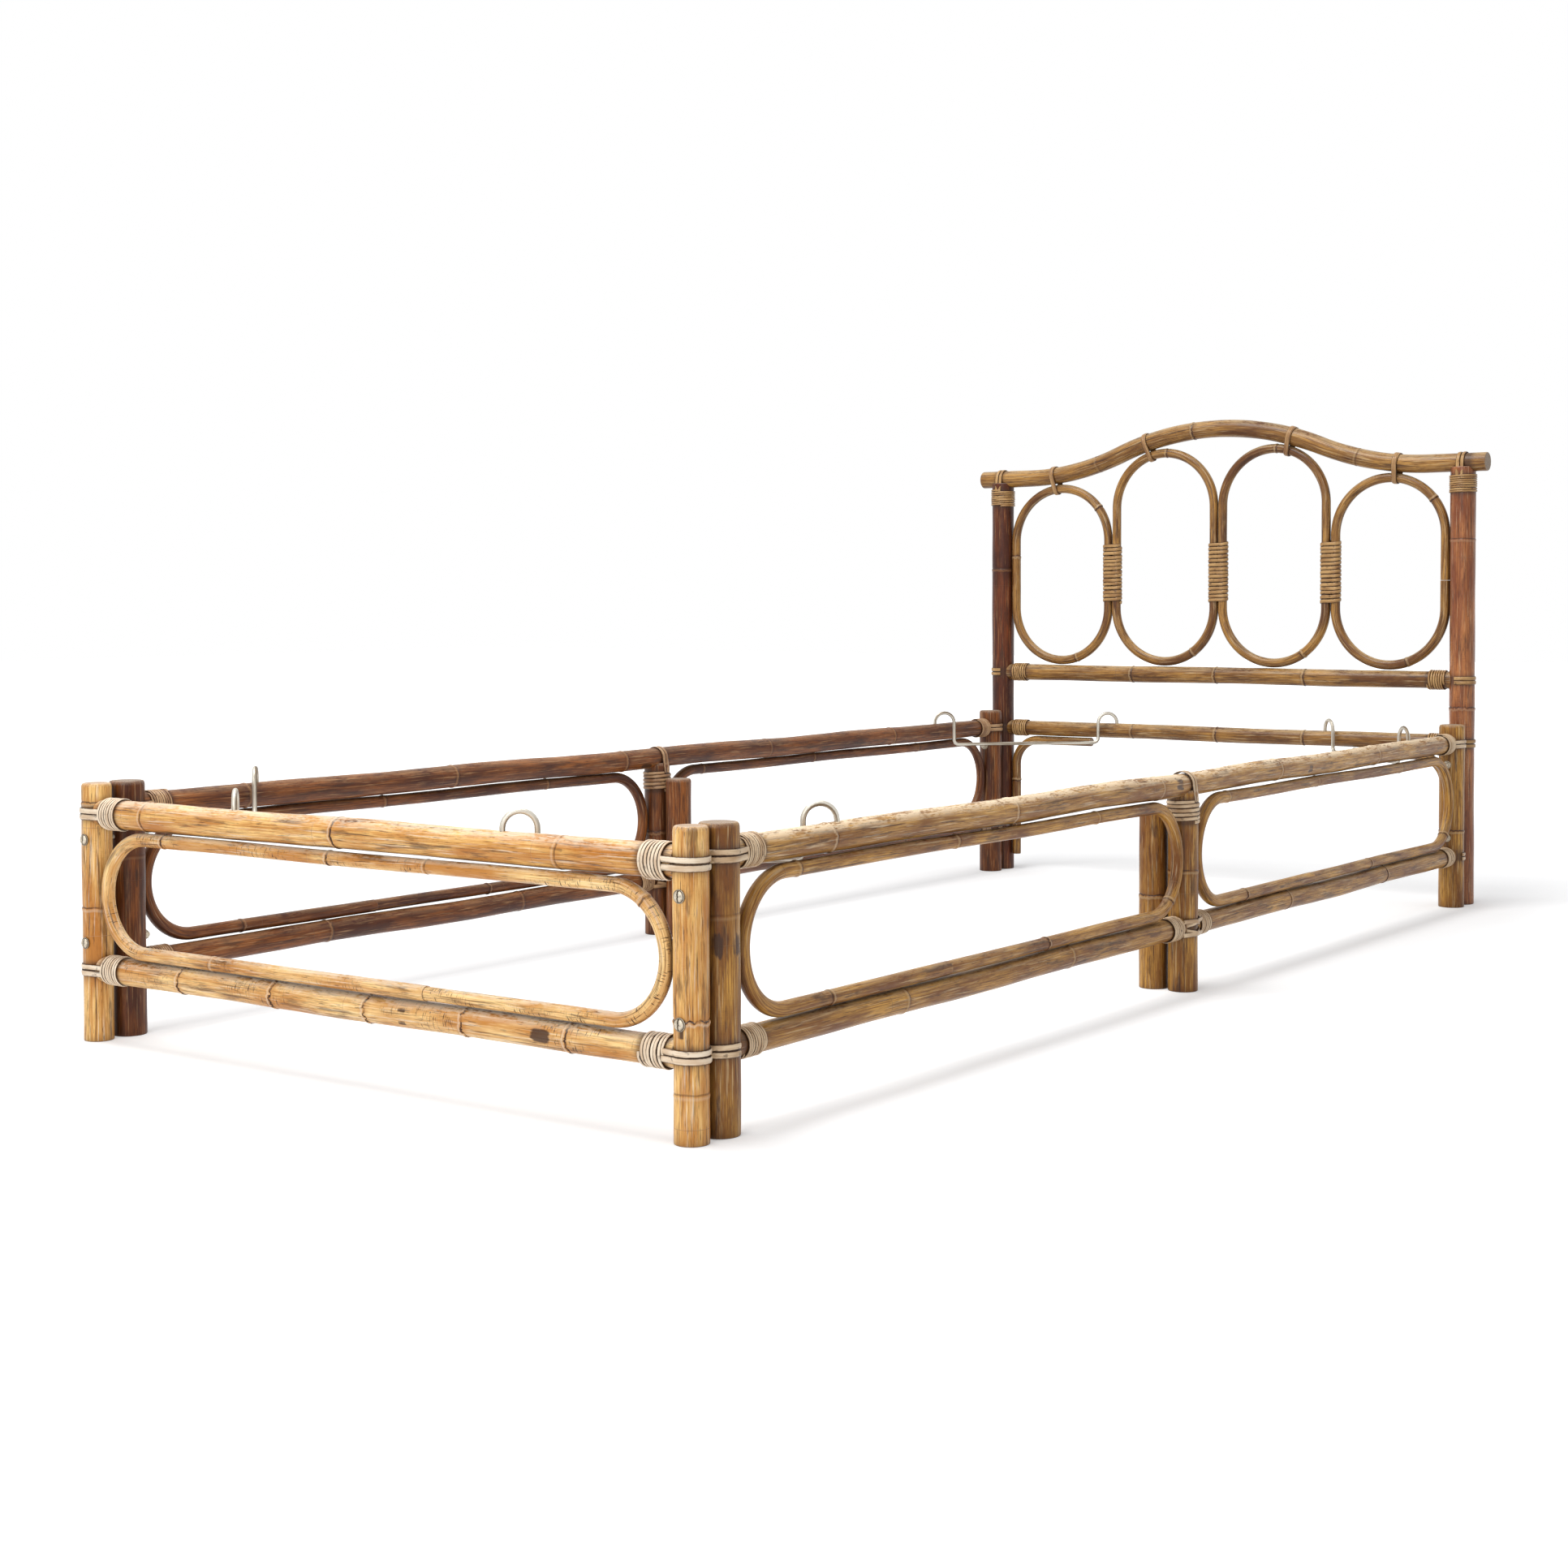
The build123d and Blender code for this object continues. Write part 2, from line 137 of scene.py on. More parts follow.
def cane(points, thick, rings=(), seed=0, wander=0.0, thinning=0.0, scars=(), bound=(), round_off=0.0018):
    """The sections of a cane along its line, close together at its rings and ends, and what each one carries."""
    luck = np.random.default_rng(seed)
    points = np.array(points, float)
    s = distances(points)
    length = s[-1]
    rings = [ring if isinstance(ring, tuple) else (ring, luck.uniform(0.7, 1.3)) for ring in rings]
    near = np.arange(-7, 7.5, 1.0) / 1000
    first_round, last_round = np.broadcast_to(round_off, 2)
    ends = np.array([0, 0.05, 0.15, 0.35, 0.65, 1.0])
    wanted = np.concatenate([np.arange(0.004, length - 0.004, 0.0045)] + [ring + near for ring, size in rings])
    wanted = np.unique(np.round(wanted[(wanted > 1.5 * first_round) & (wanted < length - 1.5 * last_round)], 5))
    wanted = wanted[np.concatenate([[True], np.diff(wanted) > 0.0006])]
    wanted = np.concatenate([ends * first_round, wanted, (length - ends * last_round)[::-1]])
    place_at = np.stack([np.interp(wanted, s, points[:, i]) for i in range(3)], axis=1)

    waves = luck.uniform(0, 2 * pi, (4, 2))
    fade = np.sin(pi * wanted / length)
    for axis in range(3):
        place_at[:, axis] += wander * fade * np.sin(2 * pi * wanted / 0.45 + waves[axis, 0])
    swell = 0.012 * np.sin(wanted * 21 + waves[0, 1]) + 0.008 * np.sin(wanted * 57 + waves[1, 1])
    edge = np.clip(np.maximum(1 - wanted / first_round, 1 - (length - wanted) / last_round), 0, 1)
    worn = 0.55 * np.where(wanted < length / 2, first_round, last_round) * (1 - np.sqrt(1 - edge**2))
    radius = thick / 2 * (1 + swell) - thinning * wanted / 2 - worn

    gap = np.full(len(wanted), 0.03)
    strength = np.ones(len(wanted))
    for ring, size in rings:
        here = wanted - ring
        closer = np.abs(here) < np.abs(gap)
        gap[closer] = here[closer]
        strength[closer] = size
    scar = np.zeros(len(wanted))
    for at, reach in scars:
        scar = np.maximum(scar, np.clip(1.4 - np.abs(wanted - at) / reach, 0, 1))
    # Under and just beside each lashing the skin is later darkened: partly grime, partly painted shade from the peel.
    lashing_shade_and_grime = np.zeros(len(wanted))
    for low, high in bound:
        outside = np.maximum(np.maximum(low - wanted, wanted - high), 0)
        lashing_shade_and_grime = np.maximum(lashing_shade_and_grime, np.exp(-outside / 0.005))

    facts = {"points": place_at, "thick": radius, "along": wanted, "ring_gap": gap, "ring_size": strength,
             "scar": scar, "bound": lashing_shade_and_grime, "cut": edge * 0.5}
    for first in (True, False):
        end = 0 if first else -1
        away = facts["points"][end] - facts["points"][1 if first else -2]
        away /= np.linalg.norm(away)
        face = {key: value[end] for key, value in facts.items()}
        for step, share in ((1, 0.85), (2, 0.45), (3, 0.01)):
            new_face = dict(face, points=face["points"] + away * step * 0.00002, thick=face["thick"] * share, cut=1.0)
            for key, value in new_face.items():
                new = np.expand_dims(value, 0)
                facts[key] = np.concatenate([new, facts[key]] if first else [facts[key], new])
    facts["start"] = np.full(len(facts["along"]), luck.uniform(0, 40))
    return facts


def path_mesh(name, runs):
    """One mesh of loose edges, a chain for each run, with what each section carries."""
    mesh = bpy.data.meshes.new(name)
    points, edges = [], []
    for run in runs:
        first, count = len(points), len(run["points"])
        points.extend(run["points"].tolist())
        edges.extend((first + i, first + i + 1) for i in range(count - 1))
    mesh.from_pydata(points, edges, [])
    for key in runs[0]:
        if key == "points":
            continue
        values = np.concatenate([run[key] for run in runs]).astype(np.float32)
        if values.ndim == 2:
            mesh.attributes.new(key, "FLOAT_VECTOR", "POINT").data.foreach_set("vector", values.ravel())
        else:
            mesh.attributes.new(key, "FLOAT", "POINT").data.foreach_set("value", values)
    return mesh


def make(name, mesh, tree, values, body, nodes):
    """Runs a node tree on a path, keeps the result as a plain mesh and hands it to the frame."""
    piece = bpy.data.objects.new(name, mesh)
    bpy.context.collection.objects.link(piece)
    maker = piece.modifiers.new("maker", "NODES")
    maker.node_group = tree
    sockets = {item.name: item.identifier for item in tree.interface.items_tree if item.item_type == "SOCKET"}
    for key, value in values.items():
        maker[sockets[key]] = value
    bpy.context.view_layer.update()
    result = bpy.data.meshes.new_from_object(piece.evaluated_get(bpy.context.evaluated_depsgraph_get()))
    piece.modifiers.remove(maker)
    piece.data = result
    result.name = name
    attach(piece, body)
    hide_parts(*nodes)
    return piece


grown_cane = bpy.data.node_groups.new("grown_cane", "GeometryNodeTree")
for name, kind, value in (
        ("Path", "NodeSocketGeometry", None), ("Sides", "NodeSocketInt", 28),
        ("Ring Rise", "NodeSocketFloat", 0.0007), ("Ring Groove", "NodeSocketFloat", 0.0006),
        ("Ring Wobble", "NodeSocketFloat", 0.0035), ("Ridges", "NodeSocketFloat", 0.0003),
        ("Material", "NodeSocketMaterial", None)):
    socket = grown_cane.interface.new_socket(name, in_out="INPUT", socket_type=kind)
    if value is not None:
        socket.default_value = value
grown_cane.interface.new_socket("Cane", in_out="OUTPUT", socket_type="NodeSocketGeometry")


def grow_tree(tree):
    """A tube on each run of the path, ridged at the rings, which remembers where its skin lies."""
    given = place(tree, "NodeGroupInput")

    def held(name, kind="FLOAT"):
        return place(tree, "GeometryNodeInputNamedAttribute", {"Name": name}, data_type=kind).outputs["Attribute"]

    def work(kind, a, b=0.0, c=0.0):
        return place(tree, "ShaderNodeMath", {0: a, 1: b, 2: c}, operation=kind).outputs[0]

    def noise(vector, stretch, scale):
        turned = place(tree, "ShaderNodeVectorMath", {0: vector, 1: stretch}, operation="MULTIPLY")
        return place(tree, "ShaderNodeTexNoise", {
            "Vector": turned.outputs[0], "Scale": scale, "Detail": 2.0}).outputs[0]

    line = place(tree, "GeometryNodeMeshToCurve", {"Mesh": given.outputs["Path"]})
    ring = place(tree, "GeometryNodeCurvePrimitiveCircle", {"Resolution": given.outputs["Sides"], "Radius": 1.0})
    mark = place(tree, "GeometryNodeCaptureAttribute", {"Geometry": ring.outputs["Curve"]})
    mark.capture_items.new("FLOAT", "Turn")
    tree.links.new(place(tree, "GeometryNodeSplineParameter").outputs["Factor"], mark.inputs["Turn"])
    tube = place(tree, "GeometryNodeCurveToMesh", {
        "Curve": line.outputs[0], "Profile Curve": mark.outputs["Geometry"], "Scale": held("thick"),
        "Fill Caps": True})
    angle = work("MULTIPLY", mark.outputs["Turn"], 2 * pi)
    grain_at = place(tree, "ShaderNodeCombineXYZ", {
        "X": work("MULTIPLY", work("COSINE", angle), held("thick")),
        "Y": work("MULTIPLY", work("SINE", angle), held("thick")),
        "Z": work("ADD", held("along"), held("start"))}).outputs[0]
    around = place(tree, "GeometryNodeStoreNamedAttribute", {
        "Geometry": tube.outputs[0], "Name": "grain_at", "Value": grain_at},
        data_type="FLOAT_VECTOR", domain="POINT")
    crook = work("SUBTRACT", noise(grain_at, (1, 1, 0.3), 60.0), 0.5)
    shifted = work("MULTIPLY_ADD", crook, given.outputs["Ring Wobble"], held("ring_gap"))
    ring_at = place(tree, "GeometryNodeStoreNamedAttribute", {
        "Geometry": around.outputs[0], "Name": "ring_at", "Value": shifted}, data_type="FLOAT", domain="POINT")

    def hump(centre, width, height):
        away = work("DIVIDE", work("SUBTRACT", shifted, centre), width)
        falls = work("EXPONENT", work("MULTIPLY", work("MULTIPLY", away, away), -1.0))
        return work("MULTIPLY", falls, height)

    ridge = work("SUBTRACT", hump(-0.0012, 0.0026, given.outputs["Ring Rise"]),
                 hump(0.0012, 0.0011, given.outputs["Ring Groove"]))
    ridge = work("MULTIPLY", ridge, held("ring_size"))
    lumps = work("SUBTRACT", noise(grain_at, (1, 1, 0.18), 75.0), 0.5)
    offset = work("MULTIPLY_ADD", lumps, given.outputs["Ridges"], ridge)
    offset = work("MULTIPLY", offset, work("SUBTRACT", 1.0, work("MINIMUM", work("MULTIPLY", held("cut"), 2.0), 1.0)))
    outward = place(tree, "ShaderNodeVectorMath", {
        0: place(tree, "GeometryNodeInputNormal").outputs["Normal"], "Scale": offset}, operation="SCALE")
    moved = place(tree, "GeometryNodeSetPosition", {"Geometry": ring_at.outputs[0], "Offset": outward.outputs[0]})
    smooth = place(tree, "GeometryNodeSetShadeSmooth", {"Geometry": moved.outputs[0], "Shade Smooth": True})
    whole = place(tree, "GeometryNodeRealizeInstances", {"Geometry": smooth.outputs[0]})
    done = place(tree, "GeometryNodeSetMaterial", {
        "Geometry": whole.outputs[0], "Material": given.outputs["Material"]})
    place(tree, "NodeGroupOutput", {0: done.outputs[0]})


grow_tree(grown_cane)

cane_skin = bpy.data.node_groups.new("cane_skin", "ShaderNodeTree")
# The dark stain colour paints real stains and also painted shade in crevices and under the lashings. The pale dust
# colour paints real dust and also the painted highlight on upward faces.
for name, kind, value in (
        ("Light", "NodeSocketColor", (0.62, 0.36, 0.12, 1)), ("Deep", "NodeSocketColor", (0.36, 0.15, 0.035, 1)),
        ("Stain", "NodeSocketColor", (0.05, 0.018, 0.007, 1)), ("Dust", "NodeSocketColor", (0.7, 0.55, 0.38, 1)),
        ("Stained", "NodeSocketFloat", 0.35), ("Streaks", "NodeSocketFloat", 0.5),
        ("Checks", "NodeSocketFloat", 0.3), ("Faded Top", "NodeSocketFloat", 0.2)):
    cane_skin.interface.new_socket(name, in_out="INPUT", socket_type=kind).default_value = value
for name, kind in (("Color", "NodeSocketColor"), ("Roughness", "NodeSocketFloat"), ("Height", "NodeSocketFloat")):
    cane_skin.interface.new_socket(name, in_out="OUTPUT", socket_type=kind)


def skin_tree(tree):
    """Fibres, stains, fine checks across, growth rings, scars, sawn ends, tops paler from fading and a painted
    highlight, and painted shade in crevices and under lashings.
    """
    given = place(tree, "NodeGroupInput")

    def held(name):
        return place(tree, "ShaderNodeAttribute", attribute_name=name)

    grain_at = held("grain_at").outputs["Vector"]

    def noise(stretch, scale, detail=3.0, roughness=0.55, distortion=0.0):
        turned = place(tree, "ShaderNodeVectorMath", {0: grain_at, 1: stretch}, operation="MULTIPLY")
        return place(tree, "ShaderNodeTexNoise", {
            "Vector": turned.outputs[0], "Scale": scale, "Detail": detail, "Roughness": roughness,
            "Distortion": distortion}).outputs[0]

    def span(value, low, high, to_low=0.0, to_high=1.0):
        return place(tree, "ShaderNodeMapRange", {
            "Value": value, "From Min": low, "From Max": high, "To Min": to_low, "To Max": to_high}).outputs[0]

    def work(kind, a, b=0.0, c=0.0):
        return place(tree, "ShaderNodeMath", {0: a, 1: b, 2: c}, operation=kind).outputs[0]

    def tint(share, under, over):
        return place(tree, "ShaderNodeMix", {0: share, 6: under, 7: over}, data_type="RGBA").outputs[2]

    fibre = noise((1, 1, 0.022), 900.0, 4.0, 0.65)
    cloud = noise((1, 1, 0.2), 55.0, 4.0, 0.6)
    broad = noise((1, 1, 0.5), 11.0, 2.0)
    colour = tint(span(work("MULTIPLY_ADD", broad, 0.4, work("MULTIPLY", cloud, 0.6)), 0.42, 0.60),
                  given.outputs["Light"], given.outputs["Deep"])
    lines = span(fibre, 0.46, 0.60)
    colour = tint(work("MULTIPLY", lines, given.outputs["Streaks"]), colour, given.outputs["Deep"])
    band = span(noise((1, 1, 0.05), 330.0, 2.0), 0.50, 0.66)
    colour = tint(work("MULTIPLY", band, 0.55), colour, given.outputs["Deep"])
    long_streak = span(noise((1, 1, 0.045), 260.0, 4.0, 0.65), 0.56, 0.66)
    colour = tint(work("MULTIPLY", long_streak, given.outputs["Streaks"]), colour, given.outputs["Stain"])
    pale_streak = span(noise((1, 1, 0.04), 420.0, 3.0, 0.6), 0.56, 0.68)
    colour = tint(work("MULTIPLY", pale_streak, 0.5), colour, given.outputs["Dust"])
    blotch = span(noise((1, 1, 0.13), 105.0, 4.0, 0.65), 0.57, 0.66)
    colour = tint(work("MULTIPLY", blotch, given.outputs["Stained"]), colour, given.outputs["Stain"])
    hair = span(noise((1, 1, 0.07), 640.0, 3.0, 0.6), 0.60, 0.68)
    colour = tint(work("MULTIPLY", hair, 0.7), colour, given.outputs["Stain"])
    checks = work("MULTIPLY", span(noise((1, 1, 6.5), 120.0, 2.0, 0.5), 0.59, 0.66),
                  span(noise((1, 1, 0.35), 30.0, 1.0), 0.50, 0.60))
    colour = tint(work("MULTIPLY", checks, given.outputs["Checks"]), colour, given.outputs["Stain"])

    ring = held("ring_at").outputs["Fac"]
    ring_full = held("ring_size").outputs["Fac"]
    jag = work("MULTIPLY", work("POWER", ring_full, 3.0), 0.004)
    ragged = work("MULTIPLY_ADD", work("SUBTRACT", noise((1, 1, 0.35), 230.0, 4.0, 0.6), 0.5), jag, ring)
    ring_size = work("MINIMUM", ring_full, 1.0)
    line = span(work("ABSOLUTE", work("SUBTRACT", ragged, 0.0006)), 0.0005, 0.0013, 1.0, 0.0)
    line = work("MULTIPLY", line, work("MULTIPLY", ring_size, span(noise((1, 1, 0.5), 90.0), 0.35, 0.5, 0.35, 1.0)))
    shade = work("MULTIPLY", span(work("ABSOLUTE", ring), 0.0, 0.009, 0.6, 0.0), ring_size)
    bloom = work("MULTIPLY", span(work("ABSOLUTE", work("ADD", ragged, 0.0028)), 0.0, 0.0024, 0.4, 0.0), ring_size)
    colour = tint(shade, colour, given.outputs["Deep"])
    colour = tint(bloom, colour, given.outputs["Dust"])
    colour = tint(line, colour, given.outputs["Stain"])

    scar = work("MULTIPLY", held("scar").outputs["Fac"], noise((1, 1, 0.09), 105.0, 2.0, 0.4))
    rim = span(scar, 0.54, 0.61)
    colour = tint(work("MULTIPLY", rim, 0.92), colour, given.outputs["Stain"])
    # Painted shade: an ambient-occlusion mask pulls the colour towards the dark stain colour in crevices, between
    # touching parts and near the floor.
    painted_crevice_shade = place(tree, "ShaderNodeAmbientOcclusion", {"Distance": 0.022}, samples=8).outputs["AO"]
    colour = tint(span(painted_crevice_shade, 0.15, 0.72, 0.85, 0.0), colour, given.outputs["Stain"])

    # Painted highlight with real fading: faces that point upward are tinted towards the pale dust colour, broken up
    # by noise.
    up = place(tree, "ShaderNodeSeparateXYZ", {0: place(tree, "ShaderNodeNewGeometry").outputs["Normal"]}).outputs[2]
    faded_and_highlit = work("MULTIPLY", span(up, 0.35, 0.95), given.outputs["Faded Top"])
    fade_and_highlight_breakup = work("MULTIPLY_ADD", noise((1, 1, 0.3), 90.0, 2.0), 0.5,
                        work("MULTIPLY", noise((1, 1, 0.3), 480.0, 4.0), 0.5))
    faded_and_highlit = work("MULTIPLY", faded_and_highlit, span(fade_and_highlight_breakup, 0.42, 0.52))
    colour = tint(faded_and_highlit, colour, given.outputs["Dust"])

    # Painted shade with grime: under and just beside the lashings the colour is pulled towards the dark stain colour.
    bound = held("bound").outputs["Fac"]
    colour = tint(work("MULTIPLY", work("MULTIPLY", bound, bound), 0.8), colour, given.outputs["Stain"])
    cut = held("cut").outputs["Fac"]
    pores = span(noise((1, 1, 0.01), 1500.0, 2.0), 0.5, 0.62)
    sawn = tint(pores, (0.40, 0.33, 0.26, 1), given.outputs["Deep"])
    colour = tint(work("MULTIPLY", cut, 0.85), colour, sawn)
    roughness = work("MULTIPLY_ADD", fibre, 0.3, 0.25)
    roughness = work("MULTIPLY_ADD", faded_and_highlit, 0.25, roughness)
    roughness = work("MAXIMUM", roughness, work("MULTIPLY", cut, 0.75))
    height = work("MULTIPLY_ADD", fibre, 0.6, work("MULTIPLY", cloud, 0.8))
    sunk = work("MAXIMUM", line, work("MULTIPLY", checks, given.outputs["Checks"]))
    height = work("SUBTRACT", height, work("MULTIPLY", sunk, 0.9))
    height = work("SUBTRACT", height, work("MULTIPLY", rim, 0.6))
    place(tree, "NodeGroupOutput", {"Color": colour, "Roughness": roughness, "Height": height})


skin_tree(cane_skin)


def varnished(name, light, deep, stained, streaks, checks, faded_and_highlit, coat, dust_and_sheen=(0.62, 0.48, 0.32)):
    """Rattan skin under an old clear varnish."""
    material = bpy.data.materials.new(name)
    material.use_nodes = True
    tree = material.node_tree
    tree.nodes.clear()
    skin = place(tree, "ShaderNodeGroup", node_tree=cane_skin)
    for key, value in (("Light", (*light, 1)), ("Deep", (*deep, 1)), ("Dust", (*dust_and_sheen, 1)), ("Stained", stained),
                       ("Streaks", streaks), ("Checks", checks), ("Faded Top", faded_and_highlit)):
        skin.inputs[key].default_value = value
    bump = place(tree, "ShaderNodeBump", {"Strength": 0.6, "Distance": 0.0006, "Height": skin.outputs["Height"]})
    surface = place(tree, "ShaderNodeBsdfPrincipled", {
        "Base Color": skin.outputs["Color"], "Roughness": skin.outputs["Roughness"], "Specular IOR Level": 0.25,
        "Coat Weight": coat, "Coat Roughness": 0.18, "Normal": bump.outputs[0]})
    place(tree, "ShaderNodeOutputMaterial", {"Surface": surface.outputs[0]})
    return material


def upright(node):
    """The axis of a post from the floor to its sawn top, and its thickness."""
    low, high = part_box(node)
    x, y = (low[0] + high[0]) / 2, (low[1] + high[1]) / 2
    skin_at = 0.00007
    return [(x, y, low[2] + skin_at), (x, y, high[2] - skin_at)], high[0] - low[0] - 0.0006


honey = varnished("honey_rattan", (0.97, 0.62, 0.22), (0.50, 0.19, 0.03), 0.6, 0.8, 0.1, 0.55, 0.1,
                  dust_and_sheen=(0.92, 0.78, 0.60))
foot_rail_z = 0.081, 0.256
foot_strap_spans = [(z - 0.007, z + 0.007) for z in foot_rail_z]
worn_top = 0.0012, 0.005
for name, rings, scars, seed in (
        ("foot_post_left", (0.150, 0.268), (), 3),
        ("foot_post_right", ((0.046, 0.5), (0.113, 1.3)), ((0.102, 0.011),), 4)):
    line, thick = upright(name)
    post = cane(line, thick, rings, seed, scars=scars, bound=foot_strap_spans, round_off=worn_top)
    make(f"{name}_cane", path_mesh(name, [post]), grown_cane, {"Material": honey, "Sides": 40}, "frame", [name])

# Foot rails
# The thicker pole above and the thinner one below run from post to post, each end hollowed to the post and
# hidden by its lashing. Both taper slightly from ring to ring.

cracked = varnished("cracked_honey_cane", (0.98, 0.68, 0.30), (0.55, 0.23, 0.045), 0.5, 0.65, 0.9, 0.55, 0.1,
                    dust_and_sheen=(0.94, 0.82, 0.64))
foot_y, post_x = -0.996375, 0.426
lashed = 0.020, 0.052
for name, z, thick, rings, seed in (
        ("foot_top_rail", 0.256, 0.033, ((0.095, 0.8), (0.397, 1.1), (0.700, 0.6)), 7),
        ("foot_bottom_rail", 0.081, 0.030,
         ((0.154, 1.3), (0.301, 1.4), (0.440, 1.4), (0.577, 1.45), (0.712, 1.2)), 8)):
    length = 2 * post_x
    inside = 0.012
    line = [(-post_x + inside, foot_y, z), (post_x - inside, foot_y, z)]
    covers = [(lashed[0] - inside, lashed[1] - inside), (length - lashed[1] - inside, length - lashed[0] - inside)]
    scars = ((0.482, 0.012), (0.668, 0.022)) if "bottom" in name else ((0.690, 0.02),)
    pole = cane(line, thick - 0.0006, [(ring - inside, size) for ring, size in rings], seed, wander=0.0008,
                thinning=0.0007, scars=scars, bound=covers)
    make(f"{name}_cane", path_mesh(name, [pole]), grown_cane,
         {"Material": cracked if "bottom" in name else honey, "Sides": 36}, "frame", [name])

# Foot loop
# One long cane steamed and bent into a flat ring, nailed on just in front of the rails. Its two ends meet in
# a butt joint under the top rail, and the skin has cracked across on the outside of the bends.


def bent_line(corners, bends):
    """Points along straight runs with a rounded bend at each inner corner."""
    corners = [np.array(corner, float) for corner in corners]
    points = [corners[0][None]]
    bends = np.broadcast_to(bends, len(corners) - 2)
    for before, corner, after, bend in zip(corners, corners[1:], corners[2:], bends):
        back = (before - corner) / np.linalg.norm(before - corner)
        on = (after - corner) / np.linalg.norm(after - corner)
        half = np.arccos(np.clip(back @ on, -1, 1)) / 2
        centre = corner + (back + on) / np.linalg.norm(back + on) * bend / np.sin(half)
        start = corner + back * bend / np.tan(half)
        turn = np.linspace(0, pi - 2 * half, 90)[:, None]
        points.append(centre + np.cos(turn) * (start - centre) - np.sin(turn) * back * bend)
    points.append(corners[-1][None])
    return np.concatenate(points)


def ring_line(node, plane_axis, joint):
    """The axis of a bent loop, from its butt joint all the way round, and the thickness of its cane."""
    low, high = (np.array(corner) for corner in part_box(node))
    thick = high[plane_axis] - low[plane_axis]
    flat = [axis for axis in range(3) if axis != plane_axis]
    low, high = low + thick / 2, high - thick / 2
    bend = min(high[flat[0]] - low[flat[0]], high[flat[1]] - low[flat[1]]) / 2
    side, share = joint
    a, b = flat
    spots = {"top": [(low[a] + (high[a] - low[a]) * share, high[b]), (high[a], high[b]), (high[a], low[b]),
                     (low[a], low[b]), (low[a], high[b])],
             "bottom": [(low[a] + (high[a] - low[a]) * share, low[b]), (low[a], low[b]), (low[a], high[b]),
                        (high[a], high[b]), (high[a], low[b])],
             "side": [(high[a], low[b] + (high[b] - low[b]) * share), (high[a], low[b]), (low[a], low[b]),
                      (low[a], high[b]), (high[a], high[b])]}[side]
    corners = []
    for first, second in spots + spots[:1]:
        corner = np.empty(3)
        corner[plane_axis], corner[a], corner[b] = low[plane_axis], first, second
        corners.append(corner)
    line = bent_line(corners, bend * 0.9999)
    s = distances(line)
    gap = 0.00022
    trimmed = np.concatenate([[gap], s[(s > gap) & (s < s[-1] - gap)], [s[-1] - gap]])
    return np.stack([np.interp(trimmed, s, line[:, i]) for i in range(3)], axis=1), thick


line, thick = ring_line("foot_loop", 1, ("bottom", 0.62))
loop = cane(line, thick - 0.0004, (0.32, 0.67, 0.93, 1.07, 1.35), 11, wander=0.0005, thinning=0.0006,
            round_off=0.0004)
make("foot_loop_cane", path_mesh("foot_loop", [loop]), grown_cane, {"Material": cracked, "Sides": 26}, "frame",
     ["foot_loop"])

# Foot lashings
# Each rail end is wound with a strip of cane peel, the shiny skin split off the cane, laid turn by turn while
# wet. Two more turns go round the post and tuck back under the winding, so that the joint draws tight as it dries.


def strip(origin, u, v, rods, turning, shift, wide, seed, deep=0.0011, rest=0.0007, tuck=True):
    """One run of peel round the rods, each a centre in u and v and a radius, moved along as shift says."""
    luck = np.random.default_rng(seed)
    origin, u, v = (np.array(value, float) for value in (origin, u, v))
    w = np.cross(u, v)
    flat = np.stack([np.cos(turning), np.sin(turning)], axis=1)
    reach = np.array([flat @ np.array(centre) + r for centre, r in rods])
    best = reach.argmax(axis=0)
    centres = np.array([centre for centre, r in rods])[best]
    radii = np.array([r for centre, r in rods])[best]
    waves = luck.uniform(0, 2 * pi, 4)
    lift = 0.00012 * np.sin(turning * 1.7 + waves[0]) + rest
    if tuck:
        ends = np.minimum(turning - turning[0], turning[-1] - turning)
        lift = lift - 0.0011 * np.clip(1 - ends / 0.3, 0, 1)
    at = centres + flat * (radii + lift)[:, None]
    stray = 0.00022 * np.sin(turning * 0.9 + waves[1]) + 0.00012 * np.sin(turning * 2.3 + waves[2])
    points = origin + at[:, :1] * u + at[:, 1:] * v + (shift + stray)[:, None] * w
    out = flat[:, :1] * u + flat[:, 1:] * v
    forward = np.gradient(points, axis=0)
    side = np.cross(forward, out)
    side /= np.linalg.norm(side, axis=1)[:, None]
    width = wide / 2 * (1 + 0.06 * np.sin(turning * 0.7 + waves[3]))
    count = len(points)
    return {"points": points, "centre": points, "out": out, "side": side, "wide": width,
            "deep": np.full(count, deep), "along": distances(points), "start": np.full(count, luck.uniform(0, 40))}


def wound(origin, u, v, rods, turns, reach, seed, fill=0.9):
    """Peel laid turn beside turn over a length of the rods, a little unevenly."""
    luck = np.random.default_rng(seed)
    begin = luck.uniform(0, 2 * pi)
    steps = int(turns * 34) + 1
    turning = begin + np.linspace(0, 2 * pi * turns, steps)
    pitch = (reach[1] - reach[0]) / (turns + 1)
    uneven = np.interp(np.linspace(0, turns, steps), np.arange(turns + 2), luck.uniform(-0.12, 0.12, int(turns) + 2))
    shift = reach[0] + pitch * (0.5 + np.linspace(0, turns, steps) + uneven)
    return strip(origin, u, v, rods, turning, shift, pitch * fill, seed)


